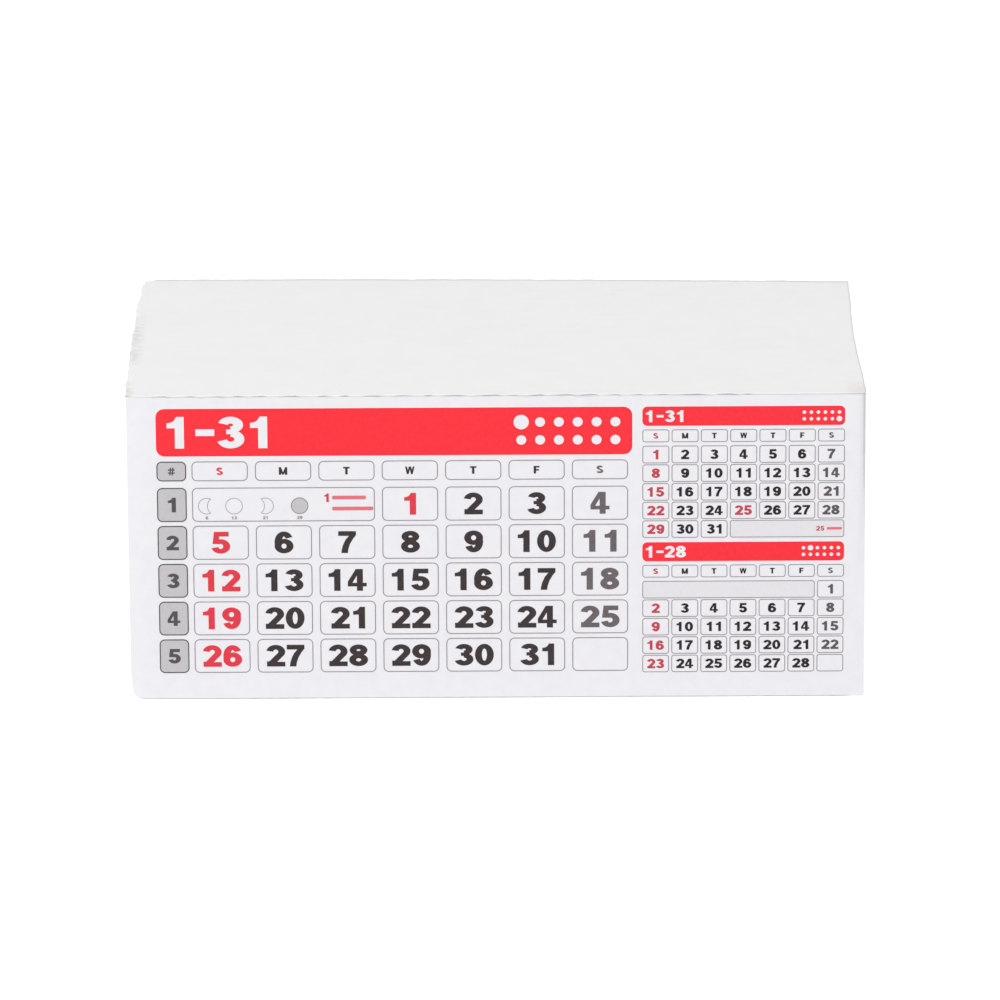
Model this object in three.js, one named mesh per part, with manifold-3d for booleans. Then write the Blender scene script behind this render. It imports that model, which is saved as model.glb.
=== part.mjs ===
// A tear-off calendar block for a wall: a thick brick of small printed leaves, on their lower edges.
// The leaves are held along their top edges by a brushed film of white padding glue.
// They are torn off from the front.
// The front leaf shows this month beside the previous and the next month, in red, black and grey.
//
// Millimetres, +Z up. The origin is the centre of the bottom face.
// The printed page faces -Y, so +X is its right.
// Printed ink is raised by a small named height, so that every field and number is a real shape.
import * as THREE from "three";
import { mergeVertices } from "three/addons/utils/BufferGeometryUtils.js";
import Module from "manifold-3d";

const wasm = await Module();
wasm.setup();

// The block
const blockWidth = 190;
const blockHeight = 83;
const blockDepth = 100;
const leafThickness = 0.1;
const glueThickness = 0.5;

// How the brick was stacked: groups of leaves that sit a little to one side of each other.
// The stack is thinner at its right end and narrower at its back.
// Its right side is hollow, and its left side bulges.
const groupCount = 20;
const groupShift = 0.12;
const rightEndThinner = 4.5;
const backInset = 1.0;
const rightHollow = 0.7;
const leftBulge = 0.5;
const cornerWearWidth = 2.4;
const cornerWearHeight = 5.0;
const cornerWearDepth = 15;

// The glue film's edge
const glueOverhang = 0.15;
const glueRaggedness = 0.1;
const glueEdgeStep = 4.5;

// Margins of the print, from the leaf's own edges
const marginLeft = 7.5;
const marginRight = 5.3;
const marginTop = 3.1;
const marginBottom = 7.3;
const smallMarginBottom = 6.85;

// Ink
const inkHeight = 0.1;
const frameLine = 0.26;

// This month's table
const bannerHeight = 12.85;
const bannerCorner = 2.1;
const bannerOverrun = 1.1;
const bannerToHeading = 1.4;
const headingHeight = 5.35;
const headingToRows = 1.8;
const weekTabWidth = 7.65;
const weekTabToDays = 1.4;
const dayGap = 1.87;
const rowGap = 1.1;
const cellCorner = 1.2;
const numberHeight = 5.8;
const weekNumberHeight = 3.9;
const bannerNumberHeight = 8.7;
const bannerNumberInset = 2.8;
const indexDotRadius = 1.3;
const indexThisMonthRadius = 2.0;
const indexPitch = 4.9;
const indexInset = 4.4;
const monthsPerIndexRow = 6;

// The tables of the previous and the next month
const tableGutter = 3.7;
const smallCellWidth = 6.91;
const smallColumnGap = 0.62;
const smallRowGap = 0.32;
const smallBannerHeight = 5.2;
const smallBannerCorner = 1.2;
const smallBannerToHeading = 1.0;
const smallHeadingHeight = 3.45;
const smallHeadingToRows = 0.95;
const smallTablesGap = 1.2;
const smallNumberHeight = 2.6;
const smallBannerNumberHeight = 3.2;
const smallBannerNumberInset = 1.2;

// Moon phases, drawn in the empty cell of the first week
const moonRadius = 2.4;
const moonPitch = 8.0;
const moonInset = 3.6;
const moonBite = 0.62;

// Numerals: wide and heavy, drawn with a broad pen that is thicker across than up
const numeralWidth = 0.8;
const numeralSpace = 0.075;
const penAcross = 0.27;
const penUp = 0.2;
const stencilTieLeft = 0.31;
const stencilTieWidth = 0.05;
const turnStep = Math.PI / 5;
const tightStep = 0.01;

const daysInWeek = 7;
const monthsInYear = 12;
const weekRows = 5;
const thisMonth = { number: 1, days: 31, firstColumn: 3, holidays: [1] };
const previousMonth = { days: 31, firstColumn: 0 };
const nextMonth = { days: 28, firstColumn: 6 };

// Places that follow from the sizes above
const leafHeight = blockHeight - glueThickness;
const leafFront = -blockDepth / 2;
const leafBack = leafFront + leafThickness;
const inkFront = leafFront - inkHeight;
const pageLeft = -blockWidth / 2;
const pageRight = blockWidth / 2;
const smallTableWidth = daysInWeek * smallCellWidth + (daysInWeek - 1) * smallColumnGap;
const smallLeft = pageRight - marginRight - smallTableWidth;
const weekTabLeft = pageLeft + marginLeft;
const daysLeft = weekTabLeft + weekTabWidth + weekTabToDays;
const daysRight = smallLeft - tableGutter;
const dayWidth = (daysRight - daysLeft - (daysInWeek - 1) * dayGap) / daysInWeek;
const bannerTop = leafHeight - marginTop;
const headingTop = bannerTop - bannerHeight - bannerToHeading;
const rowsTop = headingTop - headingHeight - headingToRows;
const rowHeight = (rowsTop - marginBottom - (weekRows - 1) * rowGap) / weekRows;
const smallTableHeight = (bannerTop - smallMarginBottom - smallTablesGap) / 2;
const nextMonthTop = bannerTop - smallTableHeight - smallTablesGap;
const smallHead = smallBannerHeight + smallBannerToHeading + smallHeadingHeight + smallHeadingToRows;
const smallRowHeight = (smallTableHeight - smallHead - (weekRows - 1) * smallRowGap) / weekRows;

// A closed geometry as a manifold solid.
function solidOf(geometry) {
  const bare = geometry.index ? geometry.toNonIndexed() : geometry.clone();
  bare.deleteAttribute("normal");
  bare.deleteAttribute("uv");
  const merged = mergeVertices(bare, 1e-5);
  const vertProperties = merged.attributes.position.array;
  const triVerts = new Uint32Array(merged.index.array);
  return new wasm.Manifold(new wasm.Mesh({ numProp: 3, vertProperties, triVerts }));
}

function geometryOf(solid) {
  const mesh = solid.getMesh();
  const points = new Float32Array(mesh.numVert * 3);
  for (let i = 0; i < mesh.numVert; i += 1) {
    points.set(mesh.vertProperties.subarray(i * mesh.numProp, i * mesh.numProp + 3), i * 3);
  }
  const geometry = new THREE.BufferGeometry();
  geometry.setAttribute("position", new THREE.BufferAttribute(points, 3));
  geometry.setIndex(new THREE.BufferAttribute(mesh.triVerts, 1));
  const flat = geometry.toNonIndexed();
  flat.computeVertexNormals();
  return flat;
}

const joined = (solids) => solids.reduce((sum, solid) => sum.add(solid));

// A shape drawn on the page (x right, y up) as a slab along Y, from `back` forward to `front`.
function slab(shape, back, front) {
  const geometry = new THREE.ExtrudeGeometry(shape, { depth: back - front, bevelEnabled: false });
  geometry.rotateX(Math.PI / 2);
  geometry.translate(0, back, 0);
  return solidOf(geometry);
}

const shapeOf = (points) => new THREE.Shape(points.map(([x, y]) => new THREE.Vector2(x, y)));

// A rectangle with each corner cut at 45 degrees, which at this scale is a small round corner.
function easedRectangle(left, bottom, width, height, corner) {
  const right = left + width;
  const top = bottom + height;
  const cut = Math.min(corner * 0.6, width / 3, height / 3);
  return [
    [left + cut, bottom],
    [right - cut, bottom],
    [right, bottom + cut],
    [right, top - cut],
    [right - cut, top],
    [left + cut, top],
    [left, top - cut],
    [left, bottom + cut],
  ];
}

function plate(left, bottom, width, height, corner, back, front) {
  return slab(shapeOf(easedRectangle(left, bottom, width, height, corner)), back, front);
}

// A printed outline of a cell: a plate with a hole that leaves the line's width.
function frame(left, bottom, width, height, corner, back, front) {
  const shape = shapeOf(easedRectangle(left, bottom, width, height, corner));
  const inner = easedRectangle(
    left + frameLine,
    bottom + frameLine,
    width - 2 * frameLine,
    height - 2 * frameLine,
    corner,
  );
  shape.holes.push(new THREE.Path(inner.map(([x, y]) => new THREE.Vector2(x, y))));
  return slab(shape, back, front);
}

// Points on an ellipse from one angle to another, in radians.
function arc(cx, cy, rx, ry, from, to) {
  const steps = Math.max(2, Math.ceil(Math.abs(to - from) / turnStep));
  return Array.from({ length: steps + 1 }, (_, i) => {
    const angle = from + ((to - from) * i) / steps;
    return [cx + rx * Math.cos(angle), cy + ry * Math.sin(angle)];
  });
}

// The outline that a broad elliptical pen leaves along a centre line.
function penStroke(line) {
  const across = penAcross / 2;
  const up = penUp / 2;
  const left = [];
  const right = [];
  line.forEach(([x, y], i) => {
    const [ax, ay] = line[Math.max(i - 1, 0)];
    const [bx, by] = line[Math.min(i + 1, line.length - 1)];
    const length = Math.hypot(bx - ax, by - ay);
    const nx = -(by - ay) / length;
    const ny = (bx - ax) / length;
    const reach = Math.hypot(across * nx, up * ny);
    const dx = (across * across * nx) / reach;
    const dy = (up * up * ny) / reach;
    left.push([x + dx, y + dy]);
    right.push([x - dx, y - dy]);
  });
  return [...right, ...left.reverse()];
}

const degrees = (value) => (value * Math.PI) / 180;

const bowl = (cx, cy, rx, ry, from, to) =>
  penStroke(arc(cx, cy, rx - penAcross / 2, ry - penUp / 2, degrees(from), degrees(to)));

const ellipseRing = (cx, cy, rx, ry) => ({
  outer: arc(cx, cy, rx, ry, 0, 2 * Math.PI).slice(0, -1),
  hole: arc(cx, cy, rx - penAcross, ry - penUp, 0, 2 * Math.PI).slice(0, -1),
});

const block = (x0, y0, x1, y1) => [
  [x0, y0],
  [x1, y0],
  [x1, y1],
  [x0, y1],
];

// The parts of each numeral, in a box one unit high: closed outlines, and rings with a hole.
function numeralParts(digit) {
  const w = numeralWidth;
  const middle = w / 2;
  const stem = 0.62 * w;
  const lowBowl = 0.33;
  const six = [
    ellipseRing(middle, lowBowl, middle, lowBowl),
    bowl(middle, 0.5, middle, 0.5, 30, 200),
  ];
  const turned = ([x, y]) => [w - x, 1 - y];
  const parts = [
    () => [ellipseRing(middle, 0.5, middle, 0.5)],
    () => [
      [
        [stem - penAcross, 0],
        [stem, 0],
        [stem, 1],
        [stem - penAcross + 0.05, 1],
        [stem - penAcross - 0.06, 0.86],
        [0.02, 0.8],
        [0.02, 0.64],
        [stem - penAcross, 0.64],
      ],
    ],
    () => [
      penStroke([
        ...arc(middle, 0.67, middle - penAcross / 2, 0.33 - penUp / 2, degrees(170), degrees(-25)),
        [0.24 * w, 0.12],
      ]),
      block(0, 0, w, penUp),
    ],
    () => [
      bowl(middle, 0.74, 0.46 * w, 0.26, 165, -90),
      bowl(middle, 0.29, middle, 0.29, 90, -165),
      block(0.36 * w, 0.44, 0.6 * w, 0.44 + penUp * 0.7),
    ],
    () => [
      {
        outer: [
          [0.47 * w, 0],
          [0.8 * w, 0],
          [0.8 * w, 0.2],
          [w, 0.2],
          [w, 0.38],
          [0.8 * w, 0.38],
          [0.8 * w, 1],
          [0.4 * w, 1],
          [0, 0.42],
          [0, 0.2],
          [0.47 * w, 0.2],
        ],
        hole: [
          [0.25 * w, 0.38],
          [0.47 * w, 0.38],
          [0.47 * w, 0.7],
        ],
      },
    ],
    () => [
      bowl(middle, 0.33, middle, 0.33, 125, -165),
      block(0.14 * w, 1 - penUp, 0.93 * w, 1),
      block(0.1 * w, 0.48, 0.4 * w, 1 - penUp / 2),
    ],
    () => six,
    () => [
      [
        [0.16 * w, 0],
        [0.53 * w, 0],
        [0.66 * w, 0.4],
        [w, 0.82],
        [w, 1],
        [0, 1],
        [0, 1 - penUp],
        [0.6 * w, 1 - penUp],
        [0.3 * w, 0.4],
      ],
    ],
    () => [
      ellipseRing(middle, 0.74, 0.46 * w, 0.26),
      ellipseRing(middle, 0.29, middle, 0.29),
    ],
    () => [
      { outer: six[0].outer.map(turned), hole: six[0].hole.map(turned) },
      six[1].map(turned),
    ],
  ];
  return parts[digit]();
}

const partShape = (part) => {
  const shape = shapeOf(part.outer ?? part);
  if (part.hole) {
    shape.holes.push(new THREE.Path(part.hole.map(([x, y]) => new THREE.Vector2(x, y))));
  }
  return shape;
};

const glyphOf = (parts) => joined(parts.map((part) => slab(partShape(part), 1, 0)));

const glyphs = new Map(Array.from({ length: 10 }, (_, i) => [String(i), glyphOf(numeralParts(i))]));
glyphs.set("-", glyphOf([block(0.1, 0.5 - penUp / 2, numeralWidth - 0.1, 0.5 + penUp / 2)]));

// A number cut out of a field is a stencil: a thin tie holds what a closed loop would let fall out.
const hasLoop = (digit) => numeralParts(digit).some((part) => part.hole);
const stencilTie = slab(shapeOf(block(stencilTieLeft, -1, stencilTieLeft + stencilTieWidth, 2)), 2, -1);
const stencilOf = (character) =>
  character !== "-" && hasLoop(Number(character))
    ? glyphs.get(character).subtract(stencilTie)
    : glyphs.get(character);

const textWidth = (text, height) => (text.length * (numeralWidth + numeralSpace) - numeralSpace) * height;

// A row of characters that starts at a point of the page.
function rowOf(solids, left, bottom, height, back, front) {
  const advance = (numeralWidth + numeralSpace) * height;
  const placed = solids.map((solid, i) =>
    solid.scale([height, back - front, height]).translate([left + i * advance, front, bottom]),
  );
  return joined(placed);
}

// A month's range of days, as a cut that goes right through the ink.
function daysCut(month, left, middle, height) {
  const solids = [...("1-" + month.days)].map(stencilOf);
  return rowOf(solids, left, middle - height / 2, height, leafFront + 1, inkFront - 1);
}

function number(value, centre, bottom, height, back, front) {
  const text = String(value);
  const left = centre - textWidth(text, height) / 2;
  const solids = [...text].map((character) => glyphs.get(character));
  return rowOf(solids, left, bottom, height, back, front);
}

// A number centred on a point, with its digits set so tight that they touch and make one piece of ink.
function tightNumber(value, centre, bottom, height) {
  const solid = [...String(value)]
    .map((character) => glyphs.get(character))
    .reduce((whole, next) => {
      const start = whole.boundingBox().max[0] - next.boundingBox().min[0];
      const closerBy = (overlap) => whole.add(next.translate([start - overlap, 0, 0]));
      let overlap = 0;
      while (closerBy(overlap).decompose().length > 1) overlap += tightStep;
      return closerBy(overlap + 2 * tightStep);
    });
  const { min, max } = solid.boundingBox();
  return solid
    .translate([-(min[0] + max[0]) / 2, 0, 0])
    .scale([height, inkHeight, height])
    .translate([centre, inkFront, bottom]);
}

// The cells of a month, as runs of columns: empty cells beside each other share one frame.
function monthCells(month) {
  const cells = [];
  for (let row = 0; row < weekRows; row += 1) {
    for (let column = 0; column < daysInWeek; column += 1) {
      const day = row * daysInWeek + column - month.firstColumn + 1;
      const isDay = day >= 1 && day <= month.days;
      const last = cells[cells.length - 1];
      if (!isDay && last && last.row === row && last.day === 0) {
        last.columns += 1;
      } else {
        cells.push({ row, column, columns: 1, day: isDay ? day : 0 });
      }
    }
  }
  return cells;
}

// This month's cells in place: the left edge, the width and the bottom of each.
function thisMonthCells() {
  return monthCells(thisMonth).map((cell) => ({
    ...cell,
    left: daysLeft + cell.column * (dayWidth + dayGap),
    width: cell.columns * (dayWidth + dayGap) - dayGap,
    bottom: rowsTop - rowHeight - cell.row * (rowHeight + rowGap),
  }));
}

// This month's frames, raised from the leaf. They start inside the leaf, so that they join it.
function thisMonthFrames() {
  const headings = Array.from({ length: daysInWeek }, (_, column) => {
    const left = daysLeft + column * (dayWidth + dayGap);
    const bottom = headingTop - headingHeight;
    return frame(left, bottom, dayWidth, headingHeight, cellCorner, leafBack, inkFront);
  });
  const days = thisMonthCells().map(({ left, bottom, width }) =>
    frame(left, bottom, width, rowHeight, cellCorner, leafBack, inkFront),
  );
  return [...headings, ...days];
}

// Four moon phases in the first week's empty cell, by name: waxing, full, waning and new.
function moonPhases() {
  const centreZ = rowsTop - rowHeight / 2;
  const disc = (x, radius, overrun = 0) => {
    const circle = arc(x, centreZ, radius, radius, 0, 2 * Math.PI).slice(0, -1);
    return slab(shapeOf(circle), leafFront + overrun, inkFront - overrun);
  };
  const centreOf = (phase) => daysLeft + moonInset + phase * moonPitch;
  const bite = moonRadius * moonBite;
  return {
    moon_waxing: disc(centreOf(0), moonRadius).subtract(disc(centreOf(0) + bite, moonRadius, 1)),
    moon_full: disc(centreOf(1), moonRadius).subtract(disc(centreOf(1), moonRadius - frameLine, 1)),
    moon_waning: disc(centreOf(2), moonRadius).subtract(disc(centreOf(2) - bite, moonRadius, 1)),
    moon_new: disc(centreOf(3), moonRadius),
  };
}

// A small table's numbers are plain bars, as wide as the digits that they stand for.
function smallMonthPrint(month, top) {
  const rowsStart = top - smallHead;
  return monthCells(month)
    .filter((cell) => cell.day)
    .map((cell) => {
      const width = String(cell.day).length * numeralWidth * smallNumberHeight;
      const centre = smallLeft + cell.column * (smallCellWidth + smallColumnGap) + smallCellWidth / 2;
      const cellBottom = rowsStart - smallRowHeight - cell.row * (smallRowHeight + smallRowGap);
      const bottom = cellBottom + (smallRowHeight - smallNumberHeight) / 2;
      const bar = block(centre - width / 2, bottom, centre + width / 2, bottom + smallNumberHeight);
      return slab(shapeOf(bar), leafBack, inkFront);
    });
}

// The worn lower left corner, as what is missing from it: full at the page, and nothing further back.
function wornCorner() {
  const curve = arc(
    pageLeft + cornerWearWidth,
    cornerWearHeight,
    cornerWearWidth,
    cornerWearHeight,
    Math.PI,
    1.5 * Math.PI,
  );
  const [apexX, apexZ] = [pageLeft - 1, -1];
  const start = [apexX, cornerWearHeight];
  const end = [pageLeft + cornerWearWidth, apexZ];
  const back = leafFront + cornerWearDepth;
  const wedge = slab(shapeOf([start, ...curve, end, [apexX, apexZ]]), back - 0.1, inkFront - 1);
  return wedge.warp((point) => {
    const share = (back - point[1]) / cornerWearDepth;
    point[0] = apexX + (point[0] - apexX) * share;
    point[2] = apexZ + (point[2] - apexZ) * share;
  });
}

// The front leaf, with the frames of its cells and the small tables' numbers raised from it.
function frontLeaf() {
  const sheet = slab(shapeOf(block(pageLeft, 0, pageRight, leafHeight)), leafBack, leafFront);
  const print = [
    ...thisMonthFrames(),
    ...smallMonthPrint(previousMonth, bannerTop),
    ...smallMonthPrint(nextMonth, nextMonthTop),
  ];
  return joined([sheet, ...print]).subtract(wornCorner());
}

// How far a group of leaves sits to one side: a repeating, uneven pattern.
const shiftOf = (group) => groupShift * Math.sin(group * 2.4) * Math.cos(group * 0.9);

// The stack's two sides and its back, by the share of the depth from 0 at the page to 1 at the back.
const leftAt = (share) => pageLeft + backInset * share - leftBulge * Math.sin(Math.PI * share);
const rightAt = (share) => pageRight - backInset * share - rightHollow * Math.sin(Math.PI * share) ** 2;
const backAt = (x) => blockDepth / 2 - (rightEndThinner * (x - pageLeft)) / blockWidth;

// The rest of the leaves, seen from above: straight at the page and the back, stepped at the two sides.
function pageStack() {
  const left = [];
  const right = [];
  for (let group = 0; group < groupCount; group += 1) {
    const share = group / (groupCount - 1);
    const shift = group === 0 ? 0 : shiftOf(group);
    const leftX = group === 0 ? pageLeft : leftAt(share) + shift;
    const rightX = rightAt(share) + shift;
    for (const edge of [group / groupCount, (group + 1) / groupCount]) {
      left.push([leftX, THREE.MathUtils.lerp(leafBack, backAt(leftX), edge)]);
      right.push([rightX, THREE.MathUtils.lerp(leafBack, backAt(rightX), edge)]);
    }
  }
  const plan = shapeOf([...right, ...left.reverse()]);
  const geometry = new THREE.ExtrudeGeometry(plan, { depth: leafHeight, bevelEnabled: false });
  return solidOf(geometry).subtract(wornCorner());
}

// The glue film, with a wavy edge that runs just past the leaves.
function paddingGlue() {
  const ragged = (along, phase) =>
    (glueRaggedness * (Math.sin(along * 0.83 + phase) + 0.6 * Math.sin(along * 2.1 + 2 * phase))) / 1.6;
  const side = (length, phase, place) => {
    const steps = Math.max(4, Math.round(length / glueEdgeStep));
    return Array.from({ length: steps }, (_, i) => {
      const outward = glueOverhang + ragged((length * i) / steps, phase);
      return place(i / steps, outward);
    });
  };
  const { lerp } = THREE.MathUtils;
  const frontRow = (x, outward) => [x, leafFront - outward];
  const backRow = (x, outward) => [x, backAt(x) + outward];
  const outline = [
    ...side(blockWidth, 0.4, (t, outward) => frontRow(lerp(pageLeft, pageRight, t), outward)),
    ...side(blockDepth, 1.7, (t, outward) => [
      rightAt(t) + outward,
      lerp(leafFront - glueOverhang, backAt(pageRight), t),
    ]),
    ...side(blockWidth, 2.9, (t, outward) => backRow(lerp(rightAt(1), leftAt(1), t), outward)),
    ...side(blockDepth, 4.1, (t, outward) => [
      leftAt(1 - t) - outward,
      lerp(backAt(pageLeft), leafFront - glueOverhang, t),
    ]),
  ];
  const geometry = new THREE.ExtrudeGeometry(shapeOf(outline), {
    depth: glueThickness,
    bevelEnabled: false,
  });
  geometry.translate(0, 0, leafHeight);
  return solidOf(geometry);
}

// The big banner: its range of days is left as bare paper, and so are twelve dots.
// The dot of this month is the larger one.
function thisMonthBanner() {
  const width = daysRight - weekTabLeft + bannerOverrun;
  const bottom = bannerTop - bannerHeight;
  const middle = bottom + bannerHeight / 2;
  const field = plate(weekTabLeft, bottom, width, bannerHeight, bannerCorner, leafFront, inkFront);
  const days = daysCut(thisMonth, weekTabLeft + bannerNumberInset, middle, bannerNumberHeight);
  const indexLeft = weekTabLeft + width - indexInset - (monthsPerIndexRow - 1) * indexPitch;
  const dots = Array.from({ length: monthsInYear }, (_, i) => {
    const radius = i + 1 === thisMonth.number ? indexThisMonthRadius : indexDotRadius;
    const x = indexLeft + (i % monthsPerIndexRow) * indexPitch;
    const z = middle + (i < monthsPerIndexRow ? 0.5 : -0.5) * indexPitch;
    const circle = arc(x, z, radius, radius, 0, 2 * Math.PI).slice(0, -1);
    return slab(shapeOf(circle), leafFront + 1, inkFront - 1);
  });
  return field.subtract(days).subtract(joined(dots));
}

// A small banner, with its range of days left as bare paper.
function smallBanner(month, top) {
  const bottom = top - smallBannerHeight;
  const corner = smallBannerCorner;
  const field = plate(smallLeft, bottom, smallTableWidth, smallBannerHeight, corner, leafFront, inkFront);
  const middle = bottom + smallBannerHeight / 2;
  const left = smallLeft + smallBannerNumberInset;
  return field.subtract(daysCut(month, left, middle, smallBannerNumberHeight));
}

// A grey tab at the left of a week, with its number raised from it.
function weekTab(value, bottom, height) {
  const tab = plate(weekTabLeft, bottom, weekTabWidth, height, cellCorner, leafFront, inkFront);
  if (!value) return tab;
  const base = bottom + (height - weekNumberHeight) / 2;
  const centre = weekTabLeft + weekTabWidth / 2;
  const raised = number(value, centre, base, weekNumberHeight, leafFront, inkFront - inkHeight);
  return tab.add(raised);
}

const paper = { color: 0xeeeef1, roughness: 0.8, metalness: 0 };
const glue = { color: 0xeeeeee, roughness: 0.55, metalness: 0 };
const pageEdges = { color: 0xececee, roughness: 0.9, metalness: 0 };
const redInk = { color: 0xfc3a45, roughness: 0.6, metalness: 0 };
const blackInk = { color: 0x423837, roughness: 0.6, metalness: 0 };
const saturdayInk = { color: 0x675e60, roughness: 0.6, metalness: 0 };
const greyInk = { color: 0xcbc7cb, roughness: 0.7, metalness: 0 };

const calendar = new THREE.Group();

function addPiece(name, solid, finish) {
  const mesh = new THREE.Mesh(geometryOf(solid), new THREE.MeshStandardMaterial(finish));
  mesh.name = name;
  calendar.add(mesh);
}

addPiece("page_stack", pageStack(), pageEdges);
addPiece("front_leaf", frontLeaf(), paper);
addPiece("padding_glue", paddingGlue(), glue);

addPiece("banner_this_month", thisMonthBanner(), redInk);
addPiece("banner_previous_month", smallBanner(previousMonth, bannerTop), redInk);
addPiece("banner_next_month", smallBanner(nextMonth, nextMonthTop), redInk);

addPiece("week_tab_heading", weekTab(0, headingTop - headingHeight, headingHeight), greyInk);
for (let week = 1; week <= weekRows; week += 1) {
  const bottom = rowsTop - rowHeight - (week - 1) * (rowHeight + rowGap);
  addPiece("week_tab_" + week, weekTab(week, bottom, rowHeight), greyInk);
}

for (const [name, solid] of Object.entries(moonPhases())) addPiece(name, solid, saturdayInk);

// Sundays are printed red and Saturdays grey.
for (const cell of thisMonthCells().filter(({ day }) => day)) {
  const base = cell.bottom + (rowHeight - numberHeight) / 2;
  const solid = tightNumber(cell.day, cell.left + cell.width / 2, base, numberHeight);
  const isRed = cell.column === 0 || thisMonth.holidays.includes(cell.day);
  const isSaturday = cell.column === daysInWeek - 1;
  addPiece("day_" + cell.day, solid, isRed ? redInk : isSaturday ? saturdayInk : blackInk);
}

export default calendar;
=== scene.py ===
"""Looks for a tear-off calendar block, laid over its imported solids.

Page sizes are in millimetres, measured from the middle of the block's lower front edge.
They become metres when a mesh is made. Every piece rides on the one body of the frame.
"""

import logging
import math
import random
from collections.abc import Sequence
from dataclasses import dataclass, field
from enum import Enum

import bpy
from mathutils import Matrix, Vector, noise
from mathutils.geometry import delaunay_2d_cdt


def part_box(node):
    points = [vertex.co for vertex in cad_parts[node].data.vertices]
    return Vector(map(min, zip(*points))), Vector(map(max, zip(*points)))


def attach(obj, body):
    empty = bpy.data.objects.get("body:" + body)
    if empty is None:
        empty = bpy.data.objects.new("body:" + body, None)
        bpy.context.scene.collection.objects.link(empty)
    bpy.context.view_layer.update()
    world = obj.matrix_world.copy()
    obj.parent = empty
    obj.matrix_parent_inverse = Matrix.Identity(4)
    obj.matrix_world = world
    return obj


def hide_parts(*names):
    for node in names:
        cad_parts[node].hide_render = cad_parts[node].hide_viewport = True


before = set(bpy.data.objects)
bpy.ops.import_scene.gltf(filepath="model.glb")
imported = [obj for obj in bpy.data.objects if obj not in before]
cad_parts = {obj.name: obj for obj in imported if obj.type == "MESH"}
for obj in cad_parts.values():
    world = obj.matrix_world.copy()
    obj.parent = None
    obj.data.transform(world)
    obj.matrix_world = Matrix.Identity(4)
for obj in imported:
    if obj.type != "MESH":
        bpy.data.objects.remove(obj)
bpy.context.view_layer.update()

LOG = logging.getLogger("calendar")
MM = 0.001
BODY = "root"

Point = tuple[float, float]
Place = tuple[float, float, float]
Colour = tuple[float, float, float]
Display = tuple[int, int, int]
Rect = tuple[float, float, float, float]
Face = tuple[int, ...]
Socket = bpy.types.NodeSocket
Bumps = list[tuple[Socket, float]]

UNIT: Point = (0.0, 1.0)
SPREAD: Point = (0.3, 0.7)
FAR: Point = (-1.0, -0.9)
BEYOND: Point = (0.9, 1.0)
WHITE = (1.0, 1.0, 1.0, 1.0)
CURVE_STEP, CORNER_STEP, DOT_STEP = 9.0, 18.0, 15.0
INNER_TRIANGLES, MERGED_WITHIN = 1, 1e-5
INITIALS = "SMTWTFS"
WEEK = len(INITIALS)
LAST_COLUMN = WEEK - 1


class Slot(Enum):
    """The record's material slots."""

    PAGE_EDGES = "page_edges"
    PAPER = "paper"
    GLUE = "padding_glue"
    RED = "red_ink"
    BLACK = "black_ink"
    DARK_GREY = "dark_grey_ink"
    LIGHT_GREY = "light_grey_ink"


class Field(float, Enum):
    """The fields of noise, told apart by their place along its third direction."""

    SWELL = 1.0
    WAVES = 2.0
    LOOSE = 3.0
    CRUMBS = 4.0
    LIP = 6.0
    LEAF_SIDE = 8.0
    LEAF_FOOT = 9.0
    LEFT_RIM = 31.0
    RIGHT_RIM = 32.0
    GLUE_FRONT = 33.0
    BACK_RIM = 34.0


def lerp(start: float, end: float, share: float) -> float:
    """Returns the value a share of the way from start to end."""
    return start + (end - start) * share


def held(share: float) -> float:
    """Returns a share held between 0 and 1."""
    return min(1.0, max(0.0, share))


def smooth(start: float, end: float, value: float) -> float:
    """Returns 0 below start, 1 above end, and a smooth rise between them."""
    share = held((value - start) / (end - start))
    return share * share * (3.0 - 2.0 * share)


def ripple(along: float, across: float, where: float) -> float:
    """Returns smooth noise between about -1 and 1, at a place in wavelengths in one field."""
    return noise.noise(Vector((along, across, where)))


def from_srgb(shown: Display) -> Colour:
    """Returns a colour in linear light, from display values between 0 and 255."""
    shares = [value / 255.0 for value in shown]
    return tuple(s / 12.92 if s <= 0.04045 else ((s + 0.055) / 1.055) ** 2.4 for s in shares)


def add_node(tree: bpy.types.NodeTree, kind: str, *feeds: tuple[str | int, Socket]) -> bpy.types.Node:
    """Adds a node to a tree.

    Args:
        tree: the tree.
        kind: the node's type.
        feeds: pairs of an input and the socket that feeds it.

    Returns:
        The new node.
    """
    node = tree.nodes.new(kind)
    for key, socket in feeds:
        tree.links.new(socket, node.inputs[key])
    return node


def add_math(tree: bpy.types.NodeTree, operation: str, first: Socket, second: Socket) -> Socket:
    """Adds a node that works on two values.

    Args:
        tree: the tree.
        operation: what the node does with them.
        first: the first value.
        second: the second value.

    Returns:
        The socket of the result.
    """
    node = add_node(tree, "ShaderNodeMath", (0, first), (1, second))
    node.operation = operation
    return node.outputs[0]


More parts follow.
